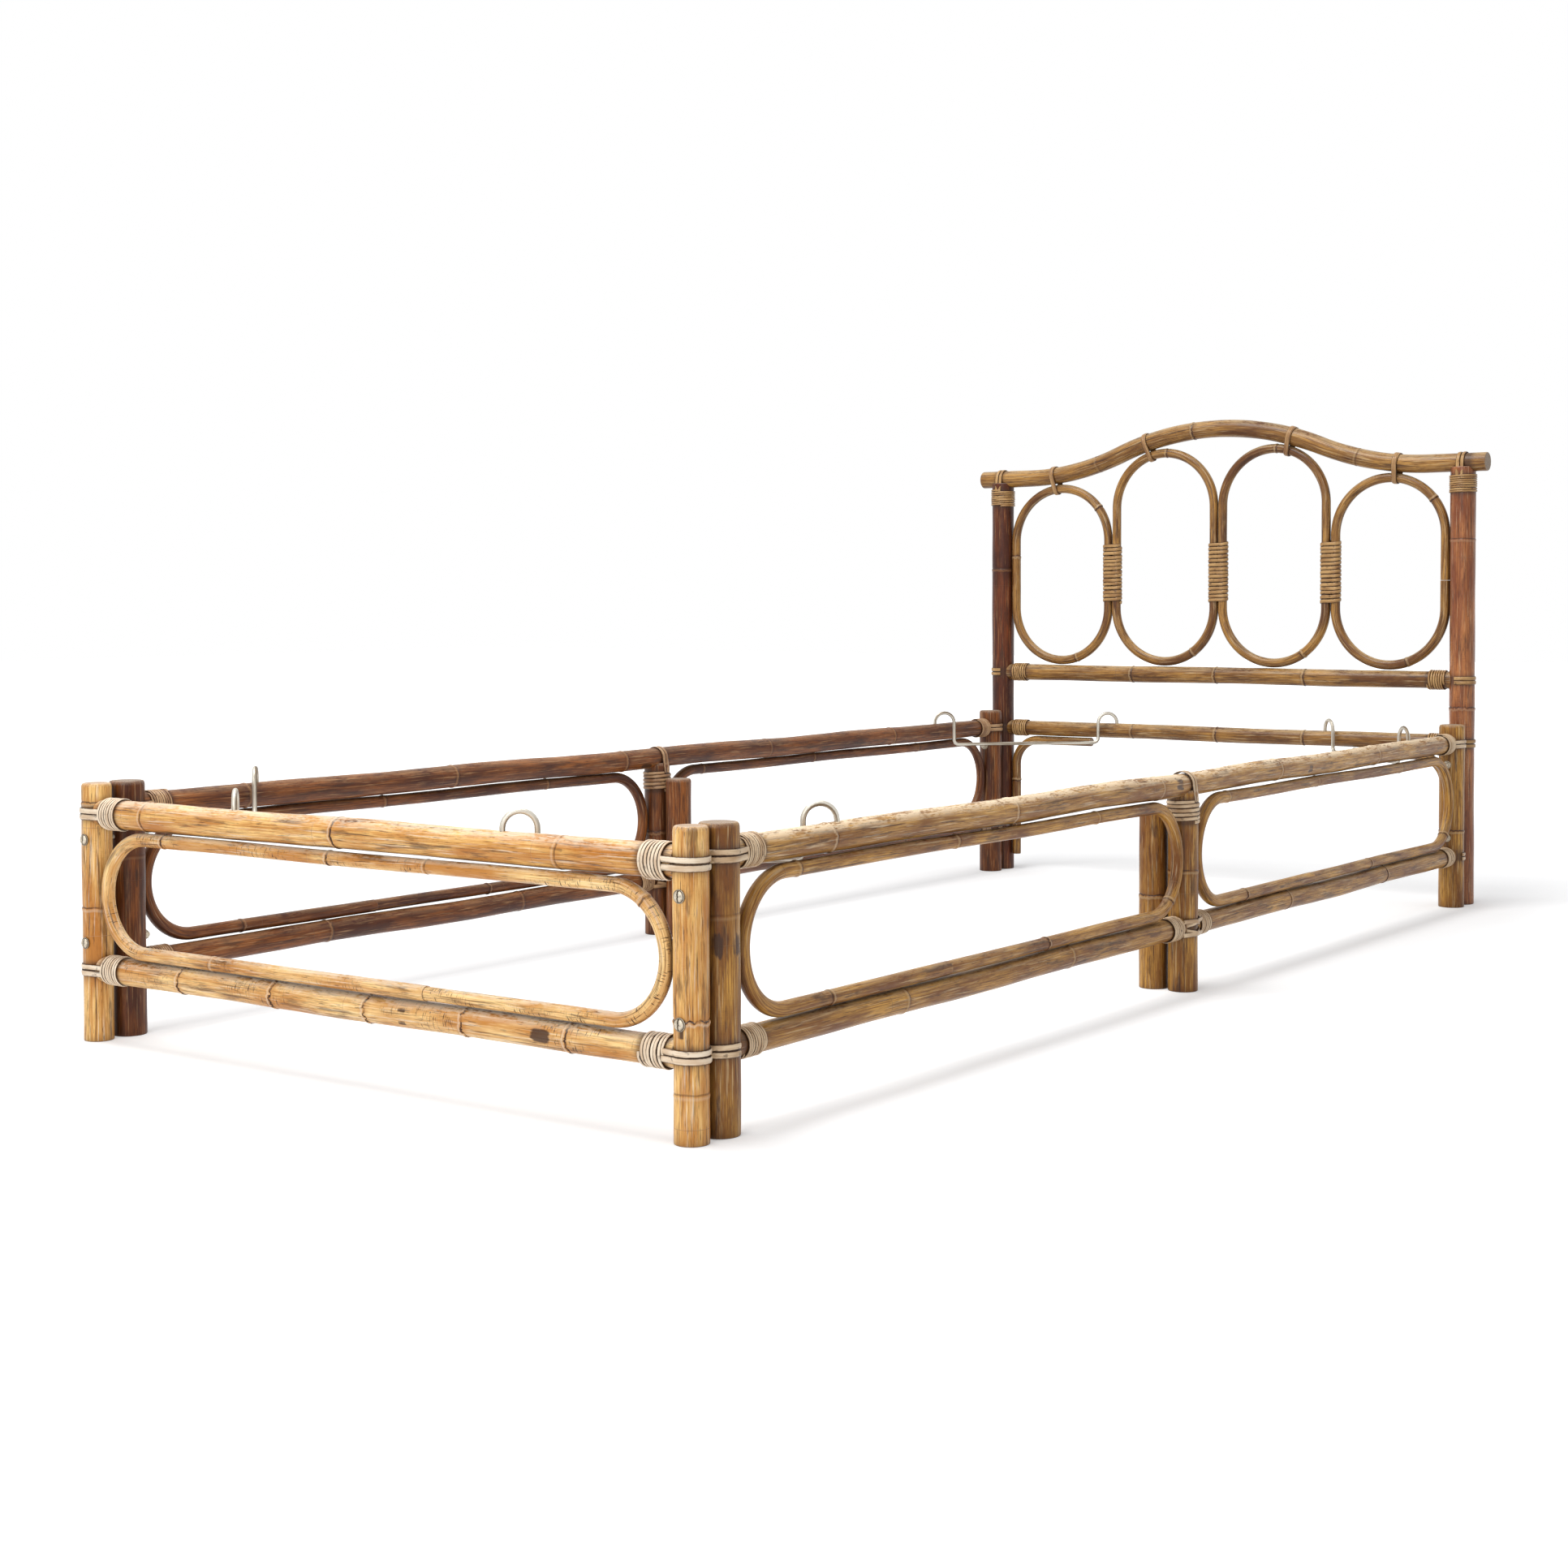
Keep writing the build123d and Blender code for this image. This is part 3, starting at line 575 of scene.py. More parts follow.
def lash(origin, rail_way, post_way, post_thick, rail_thick, seed, turns=7, cross=0.0, strap=0.0062):
    """The winding on a rail's end and the double strap round its post."""
    rail_way, post_way = np.array(rail_way, float), np.array(post_way, float)
    third = np.cross(post_way, rail_way)
    start = post_thick / 2 + 0.003
    runs = [wound(origin, third, post_way, [((0, 0), rail_thick / 2)], turns, (start, start + 0.032), seed)]
    mouth = rail_thick / 2 - 0.0012
    rods = [((0, 0), post_thick / 2), ((start + 0.003, mouth), 0), ((start + 0.003, -mouth), 0)]
    turning = np.linspace(radians(74), radians(286), 64)
    for level in (-1, 1):
        share = np.linspace(-1, 1, len(turning))
        shift = level * 0.0035 * (1 - abs(cross)) + level * cross * 0.009 * share
        runs.append(strip(origin, rail_way, third, rods, turning, shift, strap, seed * 7 + level + 9, tuck=False,
                          rest=0.0007 + 0.0004 * abs(cross) * (level > 0)))
    return runs


peel_strip = bpy.data.node_groups.new("peel_strip", "GeometryNodeTree")
peel_strip.interface.new_socket("Path", in_out="INPUT", socket_type="NodeSocketGeometry")
peel_strip.interface.new_socket("Sides", in_out="INPUT", socket_type="NodeSocketInt").default_value = 10
peel_strip.interface.new_socket("Material", in_out="INPUT", socket_type="NodeSocketMaterial")
peel_strip.interface.new_socket("Peel", in_out="OUTPUT", socket_type="NodeSocketGeometry")


def peel_tree(tree):
    """A strip along each run of the path, flat below and domed above, which faces the way each point says."""
    given = place(tree, "NodeGroupInput")

    def held(name, kind="FLOAT"):
        return place(tree, "GeometryNodeInputNamedAttribute", {"Name": name}, data_type=kind).outputs["Attribute"]

    def work(kind, a, b=0.0, c=0.0):
        return place(tree, "ShaderNodeMath", {0: a, 1: b, 2: c}, operation=kind).outputs[0]

    def scaled(vector, amount):
        return place(tree, "ShaderNodeVectorMath", {0: vector, "Scale": amount}, operation="SCALE").outputs[0]

    line = place(tree, "GeometryNodeMeshToCurve", {"Mesh": given.outputs["Path"]})
    facing = place(tree, "GeometryNodeSetCurveNormal", {
        "Curve": line.outputs[0], "Normal": held("out", "FLOAT_VECTOR")}, mode="FREE")
    ring = place(tree, "GeometryNodeCurvePrimitiveCircle", {"Resolution": given.outputs["Sides"], "Radius": 0.001})
    mark = place(tree, "GeometryNodeCaptureAttribute", {"Geometry": ring.outputs["Curve"]})
    mark.capture_items.new("FLOAT", "Turn")
    tree.links.new(place(tree, "GeometryNodeSplineParameter").outputs["Factor"], mark.inputs["Turn"])
    swept = place(tree, "GeometryNodeCurveToMesh", {
        "Curve": facing.outputs[0], "Profile Curve": mark.outputs["Geometry"], "Fill Caps": True})
    angle = work("MULTIPLY", mark.outputs["Turn"], 2 * pi)
    rise = work("MULTIPLY", work("MAXIMUM", work("COSINE", angle), -0.6), held("deep"))
    reach = work("MULTIPLY", work("SINE", angle), held("wide"))
    moved = place(tree, "ShaderNodeVectorMath", {
        0: scaled(held("out", "FLOAT_VECTOR"), rise), 1: scaled(held("side", "FLOAT_VECTOR"), reach)})
    at = place(tree, "ShaderNodeVectorMath", {0: held("centre", "FLOAT_VECTOR"), 1: moved.outputs[0]})
    grain_at = place(tree, "ShaderNodeCombineXYZ", {
        "X": reach, "Y": rise, "Z": work("ADD", held("along"), held("start"))})
    shaped = place(tree, "GeometryNodeSetPosition", {"Geometry": swept.outputs[0], "Position": at.outputs[0]})
    stored = place(tree, "GeometryNodeStoreNamedAttribute", {
        "Geometry": shaped.outputs[0], "Name": "grain_at", "Value": grain_at.outputs[0]},
        data_type="FLOAT_VECTOR", domain="POINT")
    edged = place(tree, "GeometryNodeStoreNamedAttribute", {
        "Geometry": stored.outputs[0], "Name": "edge_at", "Value": work("ABSOLUTE", work("SINE", angle))},
        data_type="FLOAT", domain="POINT")
    smooth = place(tree, "GeometryNodeSetShadeSmooth", {"Geometry": edged.outputs[0], "Shade Smooth": True})
    whole = place(tree, "GeometryNodeRealizeInstances", {"Geometry": smooth.outputs[0]})
    done = place(tree, "GeometryNodeSetMaterial", {
        "Geometry": whole.outputs[0], "Material": given.outputs["Material"]})
    place(tree, "NodeGroupOutput", {0: done.outputs[0]})


peel_tree(peel_strip)

peel_face = bpy.data.node_groups.new("peel_face", "ShaderNodeTree")
for name, value in (
        ("Pale", (0.66, 0.46, 0.28, 1)), ("Brown", (0.36, 0.19, 0.08, 1)), ("Grime", (0.06, 0.025, 0.01, 1))):
    peel_face.interface.new_socket(name, in_out="INPUT", socket_type="NodeSocketColor").default_value = value
peel_face.interface.new_socket("Browned", in_out="INPUT", socket_type="NodeSocketFloat").default_value = 0.5
for name, kind in (("Color", "NodeSocketColor"), ("Roughness", "NodeSocketFloat"), ("Height", "NodeSocketFloat")):
    peel_face.interface.new_socket(name, in_out="OUTPUT", socket_type=kind)


def peel_face_tree(tree):
    """Shiny pale skin with fine long lines, browned in places, with its edges darkened partly by dirt and partly by
    painted shade between the turns.
    """
    given = place(tree, "NodeGroupInput")
    grain_at = place(tree, "ShaderNodeAttribute", attribute_name="grain_at").outputs["Vector"]
    edge_at = place(tree, "ShaderNodeAttribute", attribute_name="edge_at").outputs["Fac"]

    def noise(stretch, scale, detail=3.0):
        turned = place(tree, "ShaderNodeVectorMath", {0: grain_at, 1: stretch}, operation="MULTIPLY")
        return place(tree, "ShaderNodeTexNoise", {
            "Vector": turned.outputs[0], "Scale": scale, "Detail": detail}).outputs[0]

    def span(value, low, high):
        return place(tree, "ShaderNodeMapRange", {"Value": value, "From Min": low, "From Max": high}).outputs[0]

    def work(kind, a, b=0.0, c=0.0):
        return place(tree, "ShaderNodeMath", {0: a, 1: b, 2: c}, operation=kind).outputs[0]

    def tint(share, under, over):
        return place(tree, "ShaderNodeMix", {0: share, 6: under, 7: over}, data_type="RGBA").outputs[2]

    fibre = noise((1, 1, 0.03), 1500.0)
    cloud = noise((1, 1, 0.4), 60.0)
    browned = work("MULTIPLY", span(cloud, 0.42, 0.62), given.outputs["Browned"])
    colour = tint(browned, given.outputs["Pale"], given.outputs["Brown"])
    colour = tint(work("MULTIPLY", span(fibre, 0.5, 0.7), 0.5), colour, given.outputs["Brown"])
    stain = span(noise((1, 1, 0.8), 160.0, 4.0), 0.60, 0.68)
    colour = tint(work("MULTIPLY", stain, 0.6), colour, given.outputs["Grime"])
    # Painted shade with dirt: the strip's edges, where they dip between the turns, are darkened towards the grime
    # colour.
    edge_grime_and_shade = span(work("MULTIPLY_ADD", work("SUBTRACT", noise((1, 1, 1), 300.0), 0.5), 0.35, edge_at), 0.68, 0.93)
    colour = tint(work("MULTIPLY", edge_grime_and_shade, 0.92), colour, given.outputs["Grime"])
    roughness = work("MULTIPLY_ADD", fibre, 0.25, 0.22)
    height = work("MULTIPLY_ADD", cloud, 0.5, fibre)
    place(tree, "NodeGroupOutput", {"Color": colour, "Roughness": roughness, "Height": height})


peel_face_tree(peel_face)


def peeled(name, pale_colour, brown, browned):
    """Cane peel, dried hard and shiny."""
    material = bpy.data.materials.new(name)
    material.use_nodes = True
    tree = material.node_tree
    tree.nodes.clear()
    face = place(tree, "ShaderNodeGroup", node_tree=peel_face)
    for key, value in (("Pale", (*pale_colour, 1)), ("Brown", (*brown, 1)), ("Browned", browned)):
        face.inputs[key].default_value = value
    bump = place(tree, "ShaderNodeBump", {"Strength": 0.5, "Distance": 0.0003, "Height": face.outputs["Height"]})
    surface = place(tree, "ShaderNodeBsdfPrincipled", {
        "Base Color": face.outputs["Color"], "Roughness": face.outputs["Roughness"], "Specular IOR Level": 0.3,
        "Coat Weight": 0.1, "Coat Roughness": 0.2, "Normal": bump.outputs[0]})
    place(tree, "ShaderNodeOutputMaterial", {"Surface": surface.outputs[0]})
    return material


cream_peel = peeled("cream_peel", (0.92, 0.78, 0.60), (0.52, 0.31, 0.15), 0.55)
runs = []
for side in (-1, 1):
    for z, rail_thick in ((0.256, 0.033), (0.081, 0.030)):
        runs += lash((side * post_x, foot_y, z), (-side, 0, 0), (0, 0, 1), 0.034, rail_thick, int(z * 1000) + side)
make("foot_lashing_peel", path_mesh("foot_lashings", runs), peel_strip, {"Material": cream_peel}, "frame",
     ["foot_lashings"])

# Side posts
# Each side panel stands on four posts. A front and a rear post are bolted to the end panels, a middle post
# carries the top rail in a hollow, and a shorter one inside it carries the middle of the slatted base.

side_looks = {
    "right": varnished("brown_gold_rattan", (0.62, 0.32, 0.06), (0.18, 0.060, 0.008), 0.7, 0.8, 0.1, 0.3, 0.12,
                       dust_and_sheen=(0.72, 0.52, 0.28)),
    "left": varnished("red_brown_rattan", (0.29, 0.092, 0.018), (0.06, 0.013, 0.003), 0.7, 0.8, 0.1, 0.3, 0.06,
                      dust_and_sheen=(0.50, 0.28, 0.13))}
front_y, rear_y, middle_y = -0.954875, 0.948875, -0.003
side_rail_z = 0.081, 0.260
side_strap_spans = [(z - 0.007, z + 0.007) for z in side_rail_z]
for side, look in side_looks.items():
    for number, (post_name, rings, bound) in enumerate((
            ("front_post", ((0.205, 0.35),), side_strap_spans), ("rear_post", (0.122,), side_strap_spans),
            ("middle_post", (0.152,), [(0.072, 0.090), (0.210, 0.242)]), ("inner_post", (0.118,), ()))):
        node = f"{side}_{post_name}"
        line, thick = upright(node)
        post = cane(line, thick, rings, number * 5 + (3 if side == "left" else 1),
                    scars=((0.178, 0.022),) if post_name == "front_post" else (), bound=bound,
                    round_off=worn_top)
        make(f"{node}_cane", path_mesh(node, [post]), grown_cane, {"Material": look, "Sides": 40}, "frame", [node])

# Side rails
# The top rail is one pole, the whole length of the bed, and its upper face is paler: faded where hands and bedding
# rub it, and also a painted highlight from the light above.
# The bottom rail is two poles that meet at the middle post.

faded_and_highlit_look = varnished("sun_faded_and_highlit_rattan", (0.66, 0.36, 0.09), (0.22, 0.082, 0.014), 0.7, 0.8, 0.1, 0.95, 0.1,
                       dust_and_sheen=(0.88, 0.70, 0.48))
for side, look in side_looks.items():
    x = post_x if side == "right" else -post_x
    number = 41 if side == "right" else 52
    inside = 0.014
    length = rear_y - front_y
    rings = [ring - inside for ring in (0.172, 0.522, 0.872, 1.222, 1.572)]
    covers = [(0.023 - inside, 0.055 - inside), (length - 0.055 - inside, length - 0.023 - inside),
              (middle_y - front_y - 0.007 - inside, middle_y - front_y + 0.007 - inside)]
    pole = cane([(x, front_y + inside, 0.260), (x, rear_y - inside, 0.260)], 0.0296, rings, number, wander=0.0012,
                thinning=0.0004, bound=covers, scars=((0.9, 0.02), (1.3, 0.015)))
    make(f"{side}_top_rail_cane", path_mesh(f"{side}_top_rail", [pole]), grown_cane,
         {"Material": faded_and_highlit_look if side == "right" else look, "Sides": 32}, "frame", [f"{side}_top_rail"])
    for part, from_y, to_y in (("front", front_y, middle_y), ("rear", rear_y, middle_y)):
        way = 1 if to_y > from_y else -1
        length = abs(to_y - from_y)
        covers = [(0.023 - inside, 0.055 - inside), (length - 0.054 - inside, length - 0.022 - inside)]
        pole = cane([(x, from_y + way * inside, 0.081), (x, to_y - way * inside, 0.081)], 0.0276,
                    (0.300 - inside, 0.650 - inside), number + way + 3, wander=0.001, thinning=0.0004, bound=covers)
        node = f"{side}_{part}_bottom_rail"
        make(f"{node}_cane", path_mesh(node, [pole]), grown_cane, {"Material": look, "Sides": 30}, "frame", [node])

# Side loops
# Two bent loops fill each side panel, one each side of the middle post, nailed on at the outer face of the rails.

for side, look in side_looks.items():
    for part, seed in (("front", 61), ("rear", 64)):
        node = f"{side}_{part}_loop"
        line, thick = ring_line(node, 0, ("bottom", 0.4))
        loop = cane(line, thick - 0.0004, (0.22, 0.52, 0.81, 1.12, 1.43, 1.74), seed + (side == "left"),
                    wander=0.0006, thinning=0.0005, round_off=0.0004)
        make(f"{node}_cane", path_mesh(node, [loop]), grown_cane, {"Material": look, "Sides": 26}, "frame", [node])

# Side lashings
# The four corners are wound and strapped as at the foot. The middle post's winding straps over the top rail,
# and at the bottom the straps of the two rails cross on the post.

side_peel = {"right": peeled("tan_peel", (0.76, 0.58, 0.38), (0.34, 0.17, 0.06), 0.65),
             "left": peeled("brown_peel", (0.54, 0.34, 0.18), (0.20, 0.08, 0.03), 0.75)}
for side, look in side_peel.items():
    x = post_x if side == "right" else -post_x
    runs = []
    for z, rail_thick in ((0.260, 0.030), (0.081, 0.028)):
        runs += lash((x, front_y, z), (0, 1, 0), (0, 0, 1), 0.040, rail_thick, int(z * 1000) + 5, turns=9)
        runs += lash((x, rear_y, z), (0, -1, 0), (0, 0, 1), 0.040, rail_thick, int(z * 1000) + 6, turns=9)
    for way in (-1, 1):
        runs += lash((x, middle_y, 0.081), (0, way, 0), (0, 0, 1), 0.038, 0.028, 90 + way, cross=0.9 * way)
    runs += lash((x, middle_y, 0.260), (0, 0, -1), (0, 1, 0), 0.030, 0.038, 95, turns=5)
    make(f"{side}_lashing_peel", path_mesh(f"{side}_lashings", runs), peel_strip, {"Material": look}, "frame",
         [f"{side}_lashings"])

# Head posts
# Two tall red-brown poles with a thick old varnish. Each is hollowed at the top for the crowned rail.

head_y = 0.993375
red_looks = {
    "right": varnished("red_varnished_rattan", (0.50, 0.19, 0.055), (0.19, 0.048, 0.012),
                       0.6, 0.85, 0.35, 0.2, 0.3, dust_and_sheen=(0.6, 0.38, 0.22)),
    "left": varnished("dark_red_varnished_rattan", (0.17, 0.038, 0.007), (0.04, 0.007, 0.002),
                      0.6, 0.85, 0.1, 0.2, 0.05, dust_and_sheen=(0.42, 0.20, 0.08))}
for name, rings, seed in (("left", (0.262, 0.545), 71), ("right", (0.315, 0.585), 72)):
    node = f"head_post_{name}"
    line, thick = upright(node)
    post = cane(line, thick, rings, seed, bound=[(0.251, 0.265), (0.352, 0.366), (0.6575, 0.6895)])
    make(f"{node}_cane", path_mesh(node, [post]), grown_cane, {"Material": red_looks[name], "Sides": 40}, "frame",
         [node])

# Crowned rail
# One olive-brown pole, steamed and bent to a low crown, lies over both posts and sticks out a little past them.

low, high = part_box("head_top_rail")
crown_thick = 0.031
crown_reach, crown_half, crown_low, crown_top = high[0], 0.370, 0.708, 0.781
crown_r = (crown_half**2 + (crown_top - crown_low) ** 2) / (4 * (crown_top - crown_low))
lean = np.arcsin(crown_half / 2 / crown_r)
half_crown = [(crown_r * sin(t), crown_top - crown_r + crown_r * cos(t)) for t in np.linspace(0, lean, 60)]
half_crown += [(crown_half - crown_r * sin(t), crown_low + crown_r - crown_r * cos(t)) for t in
               np.linspace(lean, 0, 60)[1:]]
half_crown.append((crown_reach - 0.00007, crown_low))
crown_line = [(-x, head_y, z) for x, z in half_crown[:0:-1]] + [(x, head_y, z) for x, z in half_crown]
olive = varnished("olive_rattan", (0.46, 0.235, 0.055), (0.12, 0.042, 0.008), 0.7, 0.85, 0.1, 0.5, 0.2,
                  dust_and_sheen=(0.66, 0.48, 0.26))
pole = cane(crown_line, crown_thick - 0.0012, ((0.24, 0.4), (0.432, 1.3), (0.735, 0.5)), 81, thinning=0.0003,
            bound=[(0.033, 0.047), (0.915, 0.929)])
make("crown_cane", path_mesh("crown", [pole]), grown_cane, {"Material": olive, "Sides": 32}, "frame",
     ["head_top_rail"])

# Head rails
# The loops stand on the middle rail. The bed-level rail below carries the head end of the slatted base.

for node, z, thick, seed in (("head_middle_rail", 0.359, 0.029, 84), ("head_seat_rail", 0.258, 0.0265, 85)):
    inside = 0.014
    length = 2 * post_x
    covers = [(0.023 - inside, 0.055 - inside), (length - 0.055 - inside, length - 0.023 - inside)]
    pole = cane([(-post_x + inside, head_y, z), (post_x - inside, head_y, z)], thick - 0.0005,
                [ring - inside for ring in (0.266, 0.426, 0.586)], seed, wander=0.0006, thinning=0.0005, bound=covers)
    make(f"{node}_cane", path_mesh(node, [pole]), grown_cane, {"Material": olive, "Sides": 30}, "frame", [node])

# Head loops
# Four upright loops of bent cane stand side by side on the middle rail. Each one's ends meet in a butt joint
# on its straight side, behind or beside the binding.

for number, seed in ((1, 91), (2, 92), (3, 93), (4, 94)):
    node = f"head_loop_{number}"
    line, thick = ring_line(node, 1, ("side", 0.45))
    loop = cane(line, thick - 0.0004, (0.16, 0.43, 0.69, 0.9), seed, wander=0.0004, thinning=0.0005, round_off=0.0004)
    make(f"{node}_cane", path_mesh(node, [loop]), grown_cane, {"Material": olive, "Sides": 26}, "frame", [node])

# Knee braces
# A bent cane in each lower corner of the headboard stiffens the joint of post and bed-level rail.

brace_z, brace_x, brace_end, brace_foot = 0.23645, 0.3977, 0.243, 0.028
for name, side in (("left", -1), ("right", 1)):
    node = f"head_brace_{name}"
    line = bent_line([(side * brace_end, head_y, brace_z), (side * brace_x, head_y, brace_z),
                      (side * brace_x, head_y, brace_foot)], 0.045)
    brace = cane(line, 0.0156, (0.21,), 97 + side, wander=0.0003)
    make(f"{node}_cane", path_mesh(node, [brace]), grown_cane, {"Material": olive, "Sides": 26}, "frame", [node])

# Headboard bindings, ties and lashings
# Neighbouring loops are bound together with a long close winding. A strap crossed over the rail hangs each loop
# from the crown, and the rail ends and post tops are wound and strapped as on the other panels.

gold_peel = peeled("golden_peel", (0.50, 0.30, 0.12), (0.20, 0.08, 0.02), 0.7)
loop_thick, loop_step = 0.016, 0.2029
runs = []
for number, x in enumerate((-loop_step, 0.0, loop_step)):
    rods = [((-0.00815, 0), loop_thick / 2), ((0.00815, 0), loop_thick / 2)]
    runs.append(wound((x, head_y, 0.4808), (1, 0, 0), (0, 1, 0), rods, 15, (0, 0.108), 101 + number))
make("loop_binding_peel", path_mesh("head_loop_bindings", runs), peel_strip, {"Material": gold_peel}, "frame",
     ["head_loop_bindings"])

runs = []
loop_tops = (-0.30439, 0.5941), (-0.10146, 0.6493), (0.10146, 0.6493), (0.30439, 0.5941)
for number, (x, centre_z) in enumerate(loop_tops):
    if number in (1, 2):
        up = Vector((x, centre_z - (crown_top - crown_r))).normalized()
    else:
        up = Vector(((crown_half if x > 0 else -crown_half) - x, crown_low + crown_r - centre_z)).normalized()
    cane_x, cane_z = x + up[0] * 0.09331, centre_z + up[1] * 0.09331
    rods = [((0, 0), loop_thick / 2), ((0, 0.0238), crown_thick / 2)]
    for level in (-1, 1):
        turning = np.linspace(0.4, 0.4 + 4 * pi, 90)
        share = np.linspace(-1, 1, 90)
        runs.append(strip((cane_x, head_y, cane_z), (0, 1, 0), (up[0], 0, up[1]), rods, turning,
                          level * 0.0032 * share, 0.0052, 111 + number + level, rest=0.0007 + 0.0004 * (level > 0)))
dark_peel = peeled("dark_tie_peel", (0.46, 0.27, 0.115), (0.17, 0.065, 0.02), 0.75)
make("loop_tie_peel", path_mesh("head_loop_ties", runs), peel_strip, {"Material": dark_peel}, "frame",
     ["head_loop_ties"])

runs = []
for side in (-1, 1):
    for z, rail_thick in ((0.359, 0.029), (0.258, 0.0265)):
        runs += lash((side * post_x, head_y, z), (-side, 0, 0), (0, 0, 1), 0.040, rail_thick, int(z * 1000) + side)
    runs += lash((side * post_x, head_y, 0.708), (0, 0, -1), (1, 0, 0), 0.031, 0.040, 131 + side, turns=8)
make("head_lashing_peel", path_mesh("head_lashings", runs), peel_strip, {"Material": gold_peel}, "frame",
     ["head_lashings"])

# Corner wires
# A stiff galvanised wire crosses each corner of the bay and carries a corner of the slatted base. Its ends arch up
# and peg into holes in the tops of the two rails, so it lifts straight out.

steel = bpy.data.materials.new("dull_galvanised_wire")
steel.use_nodes = True
tree = steel.node_tree
tree.nodes.clear()
held = place(tree, "ShaderNodeAttribute", attribute_name="grain_at").outputs["Vector"]
drawn = place(tree, "ShaderNodeVectorMath", {0: held, 1: (1, 1, 0.05)}, operation="MULTIPLY")
scratch = place(tree, "ShaderNodeTexNoise", {"Vector": drawn.outputs[0], "Scale": 2500.0, "Detail": 3.0})
bloom = place(tree, "ShaderNodeTexNoise", {"Vector": drawn.outputs[0], "Scale": 260.0, "Detail": 4.0})
patch = place(tree, "ShaderNodeMapRange", {"Value": bloom.outputs[0], "From Min": 0.44, "From Max": 0.56})
mixed = place(tree, "ShaderNodeMix", {0: patch.outputs[0], 6: (0.62, 0.58, 0.50, 1), 7: (0.20, 0.15, 0.10, 1)},
              data_type="RGBA")
rough = place(tree, "ShaderNodeMapRange", {"Value": scratch.outputs[0], "To Min": 0.28, "To Max": 0.6})
bump = place(tree, "ShaderNodeBump", {"Strength": 0.3, "Distance": 0.0002, "Height": scratch.outputs[0]})
surface = place(tree, "ShaderNodeBsdfPrincipled", {
    "Base Color": mixed.outputs[2], "Roughness": rough.outputs[0], "Metallic": 0.75, "Normal": bump.outputs[0]})
place(tree, "ShaderNodeOutputMaterial", {"Surface": surface.outputs[0]})

wire_thick, wire_reach, arch_width, arch_rise, wire_low = 0.006, 0.232, 0.034, 0.018, 0.238
for x_name, x_side in (("left", -1), ("right", 1)):
    for y_name, end_y, end_top, y_side in (("front", foot_y, 0.2725, -1), ("rear", head_y, 0.27125, 1)):
        node = f"corner_wire_{y_name}_{x_name}"
        start = Vector((x_side * (post_x - wire_reach), end_y, 0))
        run = Vector((x_side * post_x, end_y - y_side * wire_reach, 0)) - start
        end_crest, side_crest = end_top + arch_rise, 0.275 + arch_rise
        legs = [(0, end_top - 0.02), (0, end_crest), (arch_width, end_crest), (arch_width, wire_low),
                (run.length - arch_width, wire_low), (run.length - arch_width, side_crest),
                (run.length, side_crest), (run.length, 0.275 - 0.02)]
        corners = [start + run.normalized() * away + Vector((0, 0, z)) for away, z in legs]
        half_arch = arch_width / 2 * 0.9999
        line = bent_line(corners, (half_arch, half_arch, 0.008, 0.008, half_arch, half_arch))
        wire = cane(line, wire_thick - 0.0002, (), 141, round_off=0.0008)
        make(f"{node}_steel", path_mesh(node, [wire]), grown_cane,
             {"Material": steel, "Sides": 16, "Ridges": 0.00002}, node, [node])

# Corner bolts
# Two slotted dome-headed bolts at each corner pass through both posts and pull the panels together. Each has a
# washer under its head and under its nut.

aged_steel = bpy.data.materials.new("aged_bolt_steel")
aged_steel.use_nodes = True
tree = aged_steel.node_tree
tree.nodes.clear()
where = place(tree, "ShaderNodeTexCoord").outputs["Object"]
worn = place(tree, "ShaderNodeTexNoise", {"Vector": where, "Scale": 420.0, "Detail": 4.0})
groove = place(tree, "ShaderNodeAttribute", attribute_name="groove").outputs["Fac"]
dark = place(tree, "ShaderNodeMapRange", {"Value": worn.outputs[0], "From Min": 0.5, "From Max": 0.7, "To Max": 0.4})
darkest = place(tree, "ShaderNodeMath", {0: dark.outputs[0], 1: groove}, operation="MAXIMUM")
mixed = place(tree, "ShaderNodeMix", {0: darkest.outputs[0], 6: (0.60, 0.53, 0.42, 1), 7: (0.03, 0.018, 0.01, 1)},
              data_type="RGBA")
rough = place(tree, "ShaderNodeMapRange", {"Value": worn.outputs[0], "To Min": 0.3, "To Max": 0.7})
bump = place(tree, "ShaderNodeBump", {"Strength": 0.4, "Distance": 0.0003, "Height": worn.outputs[0]})
surface = place(tree, "ShaderNodeBsdfPrincipled", {
    "Base Color": mixed.outputs[2], "Roughness": rough.outputs[0], "Metallic": 0.8, "Normal": bump.outputs[0]})
place(tree, "ShaderNodeOutputMaterial", {"Surface": surface.outputs[0]})


def turned(name, outline, sides, flats_between=None):
    """A closed solid of revolution on the Z axis, from its radii and heights, with flats cut between two heights."""
    points, faces = [], []
    for r, z in outline:
        for i in range(sides):
            angle = 2 * pi * i / sides
            reach = r
            if flats_between and flats_between[0] <= z <= flats_between[1]:
                bend = (angle + pi / 6) % (pi / 3) - pi / 6
                reach = min(r, flats_between[2] / cos(bend))
            points.append((reach * cos(angle), reach * sin(angle), z))
    for ring in range(len(outline) - 1):
        for i in range(sides):
            a, b = ring * sides + i, ring * sides + (i + 1) % sides
            faces.append((a, b, b + sides, a + sides))
    faces.append(tuple(range(sides))[::-1])
    faces.append(tuple(range((len(outline) - 1) * sides, len(outline) * sides)))
    mesh = bpy.data.meshes.new(name)
    mesh.from_pydata(points, [], faces)
    return mesh


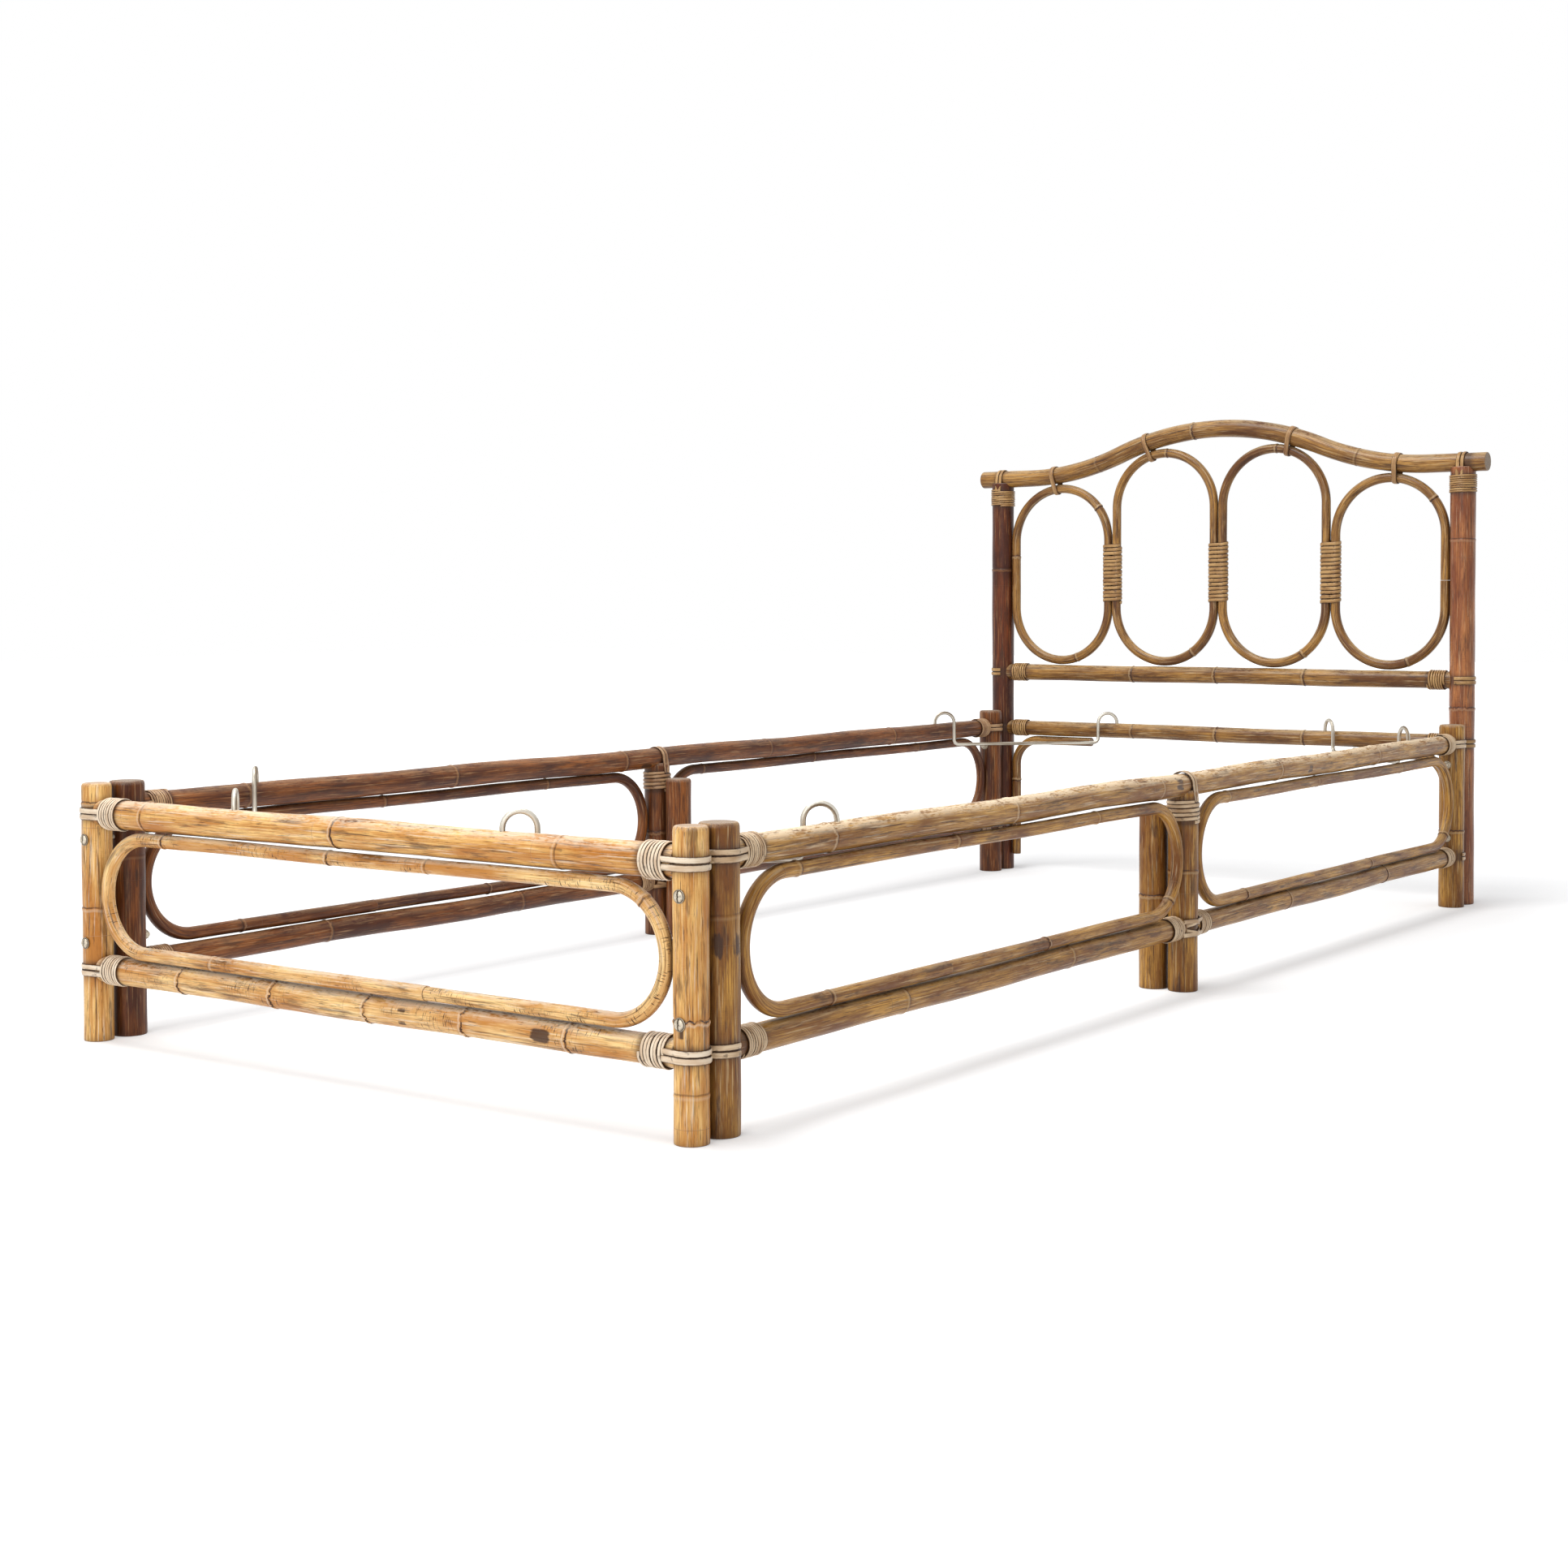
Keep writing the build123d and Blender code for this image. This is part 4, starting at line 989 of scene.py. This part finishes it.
dome = [(0.0064, 0.0), (0.0064, 0.0006), (0.0060, 0.0008), (0.0052, 0.0008), (0.0053, 0.0012), (0.0050, 0.0019),
        (0.0042, 0.0025), (0.0030, 0.00285), (0.0016, 0.00298), (0.0004, 0.0030)]
bolt_mesh = turned("bolt_head", dome, 48)
groove = bolt_mesh.attributes.new("groove", "FLOAT", "POINT")
for vertex in bolt_mesh.vertices:
    x, y, z = vertex.co
    slotted = abs(x) < 0.0007 and z > 0.0018
    groove.data[vertex.index].value = 1.0 if slotted or z < 0.0001 else 0.8 if 0.0007 < z < 0.001 else 0.0
    if slotted:
        vertex.co.z = z - 0.001

setting_out = bpy.data.node_groups.new("setting_out", "GeometryNodeTree")
for name, kind in (
        ("Points", "NodeSocketGeometry"), ("Piece", "NodeSocketObject"), ("Material", "NodeSocketMaterial")):
    setting_out.interface.new_socket(name, in_out="INPUT", socket_type=kind)
setting_out.interface.new_socket("Pieces", in_out="OUTPUT", socket_type="NodeSocketGeometry")
given = place(setting_out, "NodeGroupInput")
aim = place(setting_out, "GeometryNodeInputNamedAttribute", {"Name": "aim"}, data_type="FLOAT_VECTOR")
turn = place(setting_out, "FunctionNodeAlignRotationToVector", {"Vector": aim.outputs["Attribute"]}, axis="Z")
info = place(setting_out, "GeometryNodeObjectInfo", {"Object": given.outputs["Piece"], "As Instance": True})
laid = place(setting_out, "GeometryNodeInstanceOnPoints", {
    "Points": given.outputs["Points"], "Instance": info.outputs["Geometry"], "Rotation": turn.outputs[0]})
whole = place(setting_out, "GeometryNodeRealizeInstances", {"Geometry": laid.outputs[0]})
done = place(setting_out, "GeometryNodeSetMaterial", {
    "Geometry": whole.outputs[0], "Material": given.outputs["Material"]})
place(setting_out, "NodeGroupOutput", {0: done.outputs[0]})


def set_out(name, mesh, spots, nodes, material):
    """Copies of one piece, each at a spot and facing its way, as one mesh."""
    pattern = bpy.data.objects.new(f"{name}_pattern", mesh)
    bpy.context.collection.objects.link(pattern)
    points = bpy.data.meshes.new(name)
    points.from_pydata([spot for spot, way in spots], [], [])
    ways = np.array([way for spot, way in spots], np.float32)
    points.attributes.new("aim", "FLOAT_VECTOR", "POINT").data.foreach_set("vector", ways.ravel())
    piece = make(name, points, setting_out, {"Piece": pattern, "Material": material}, "frame", nodes)
    bpy.data.objects.remove(pattern)
    return piece


bolt_spots, nut_spots = [], []
for x in (-post_x, post_x):
    for z in (0.111, 0.227):
        for outer_y, way, grip in ((foot_y - 0.0173, -1, 0.0791), (head_y + 0.0203, 1, 0.0851)):
            bolt_spots.append(((x, outer_y, z), (0, way, 0)))
            nut_spots.append(((x, outer_y - way * grip, z), (0, -way, 0)))
nut_outline = [(0.0029, -0.0785), (0.0029, -0.0004), (0.0062, -0.0003), (0.0062, 0.0006), (0.0050, 0.0007),
               (0.0057, 0.0012), (0.00577, 0.0042), (0.0050, 0.0050), (0.0030, 0.0050), (0.0026, 0.0053),
               (0.0030, 0.0056), (0.0026, 0.0061), (0.0030, 0.0066), (0.0026, 0.0071), (0.0029, 0.0076),
               (0.0024, 0.0080)]
nut_mesh = turned("nut", nut_outline, 24, (0.001, 0.0050, 0.0050))
set_out("bolt_heads", bolt_mesh, bolt_spots, ["corner_bolts"], aged_steel)
set_out("bolt_nuts", nut_mesh, nut_spots, ["corner_nuts"], aged_steel)
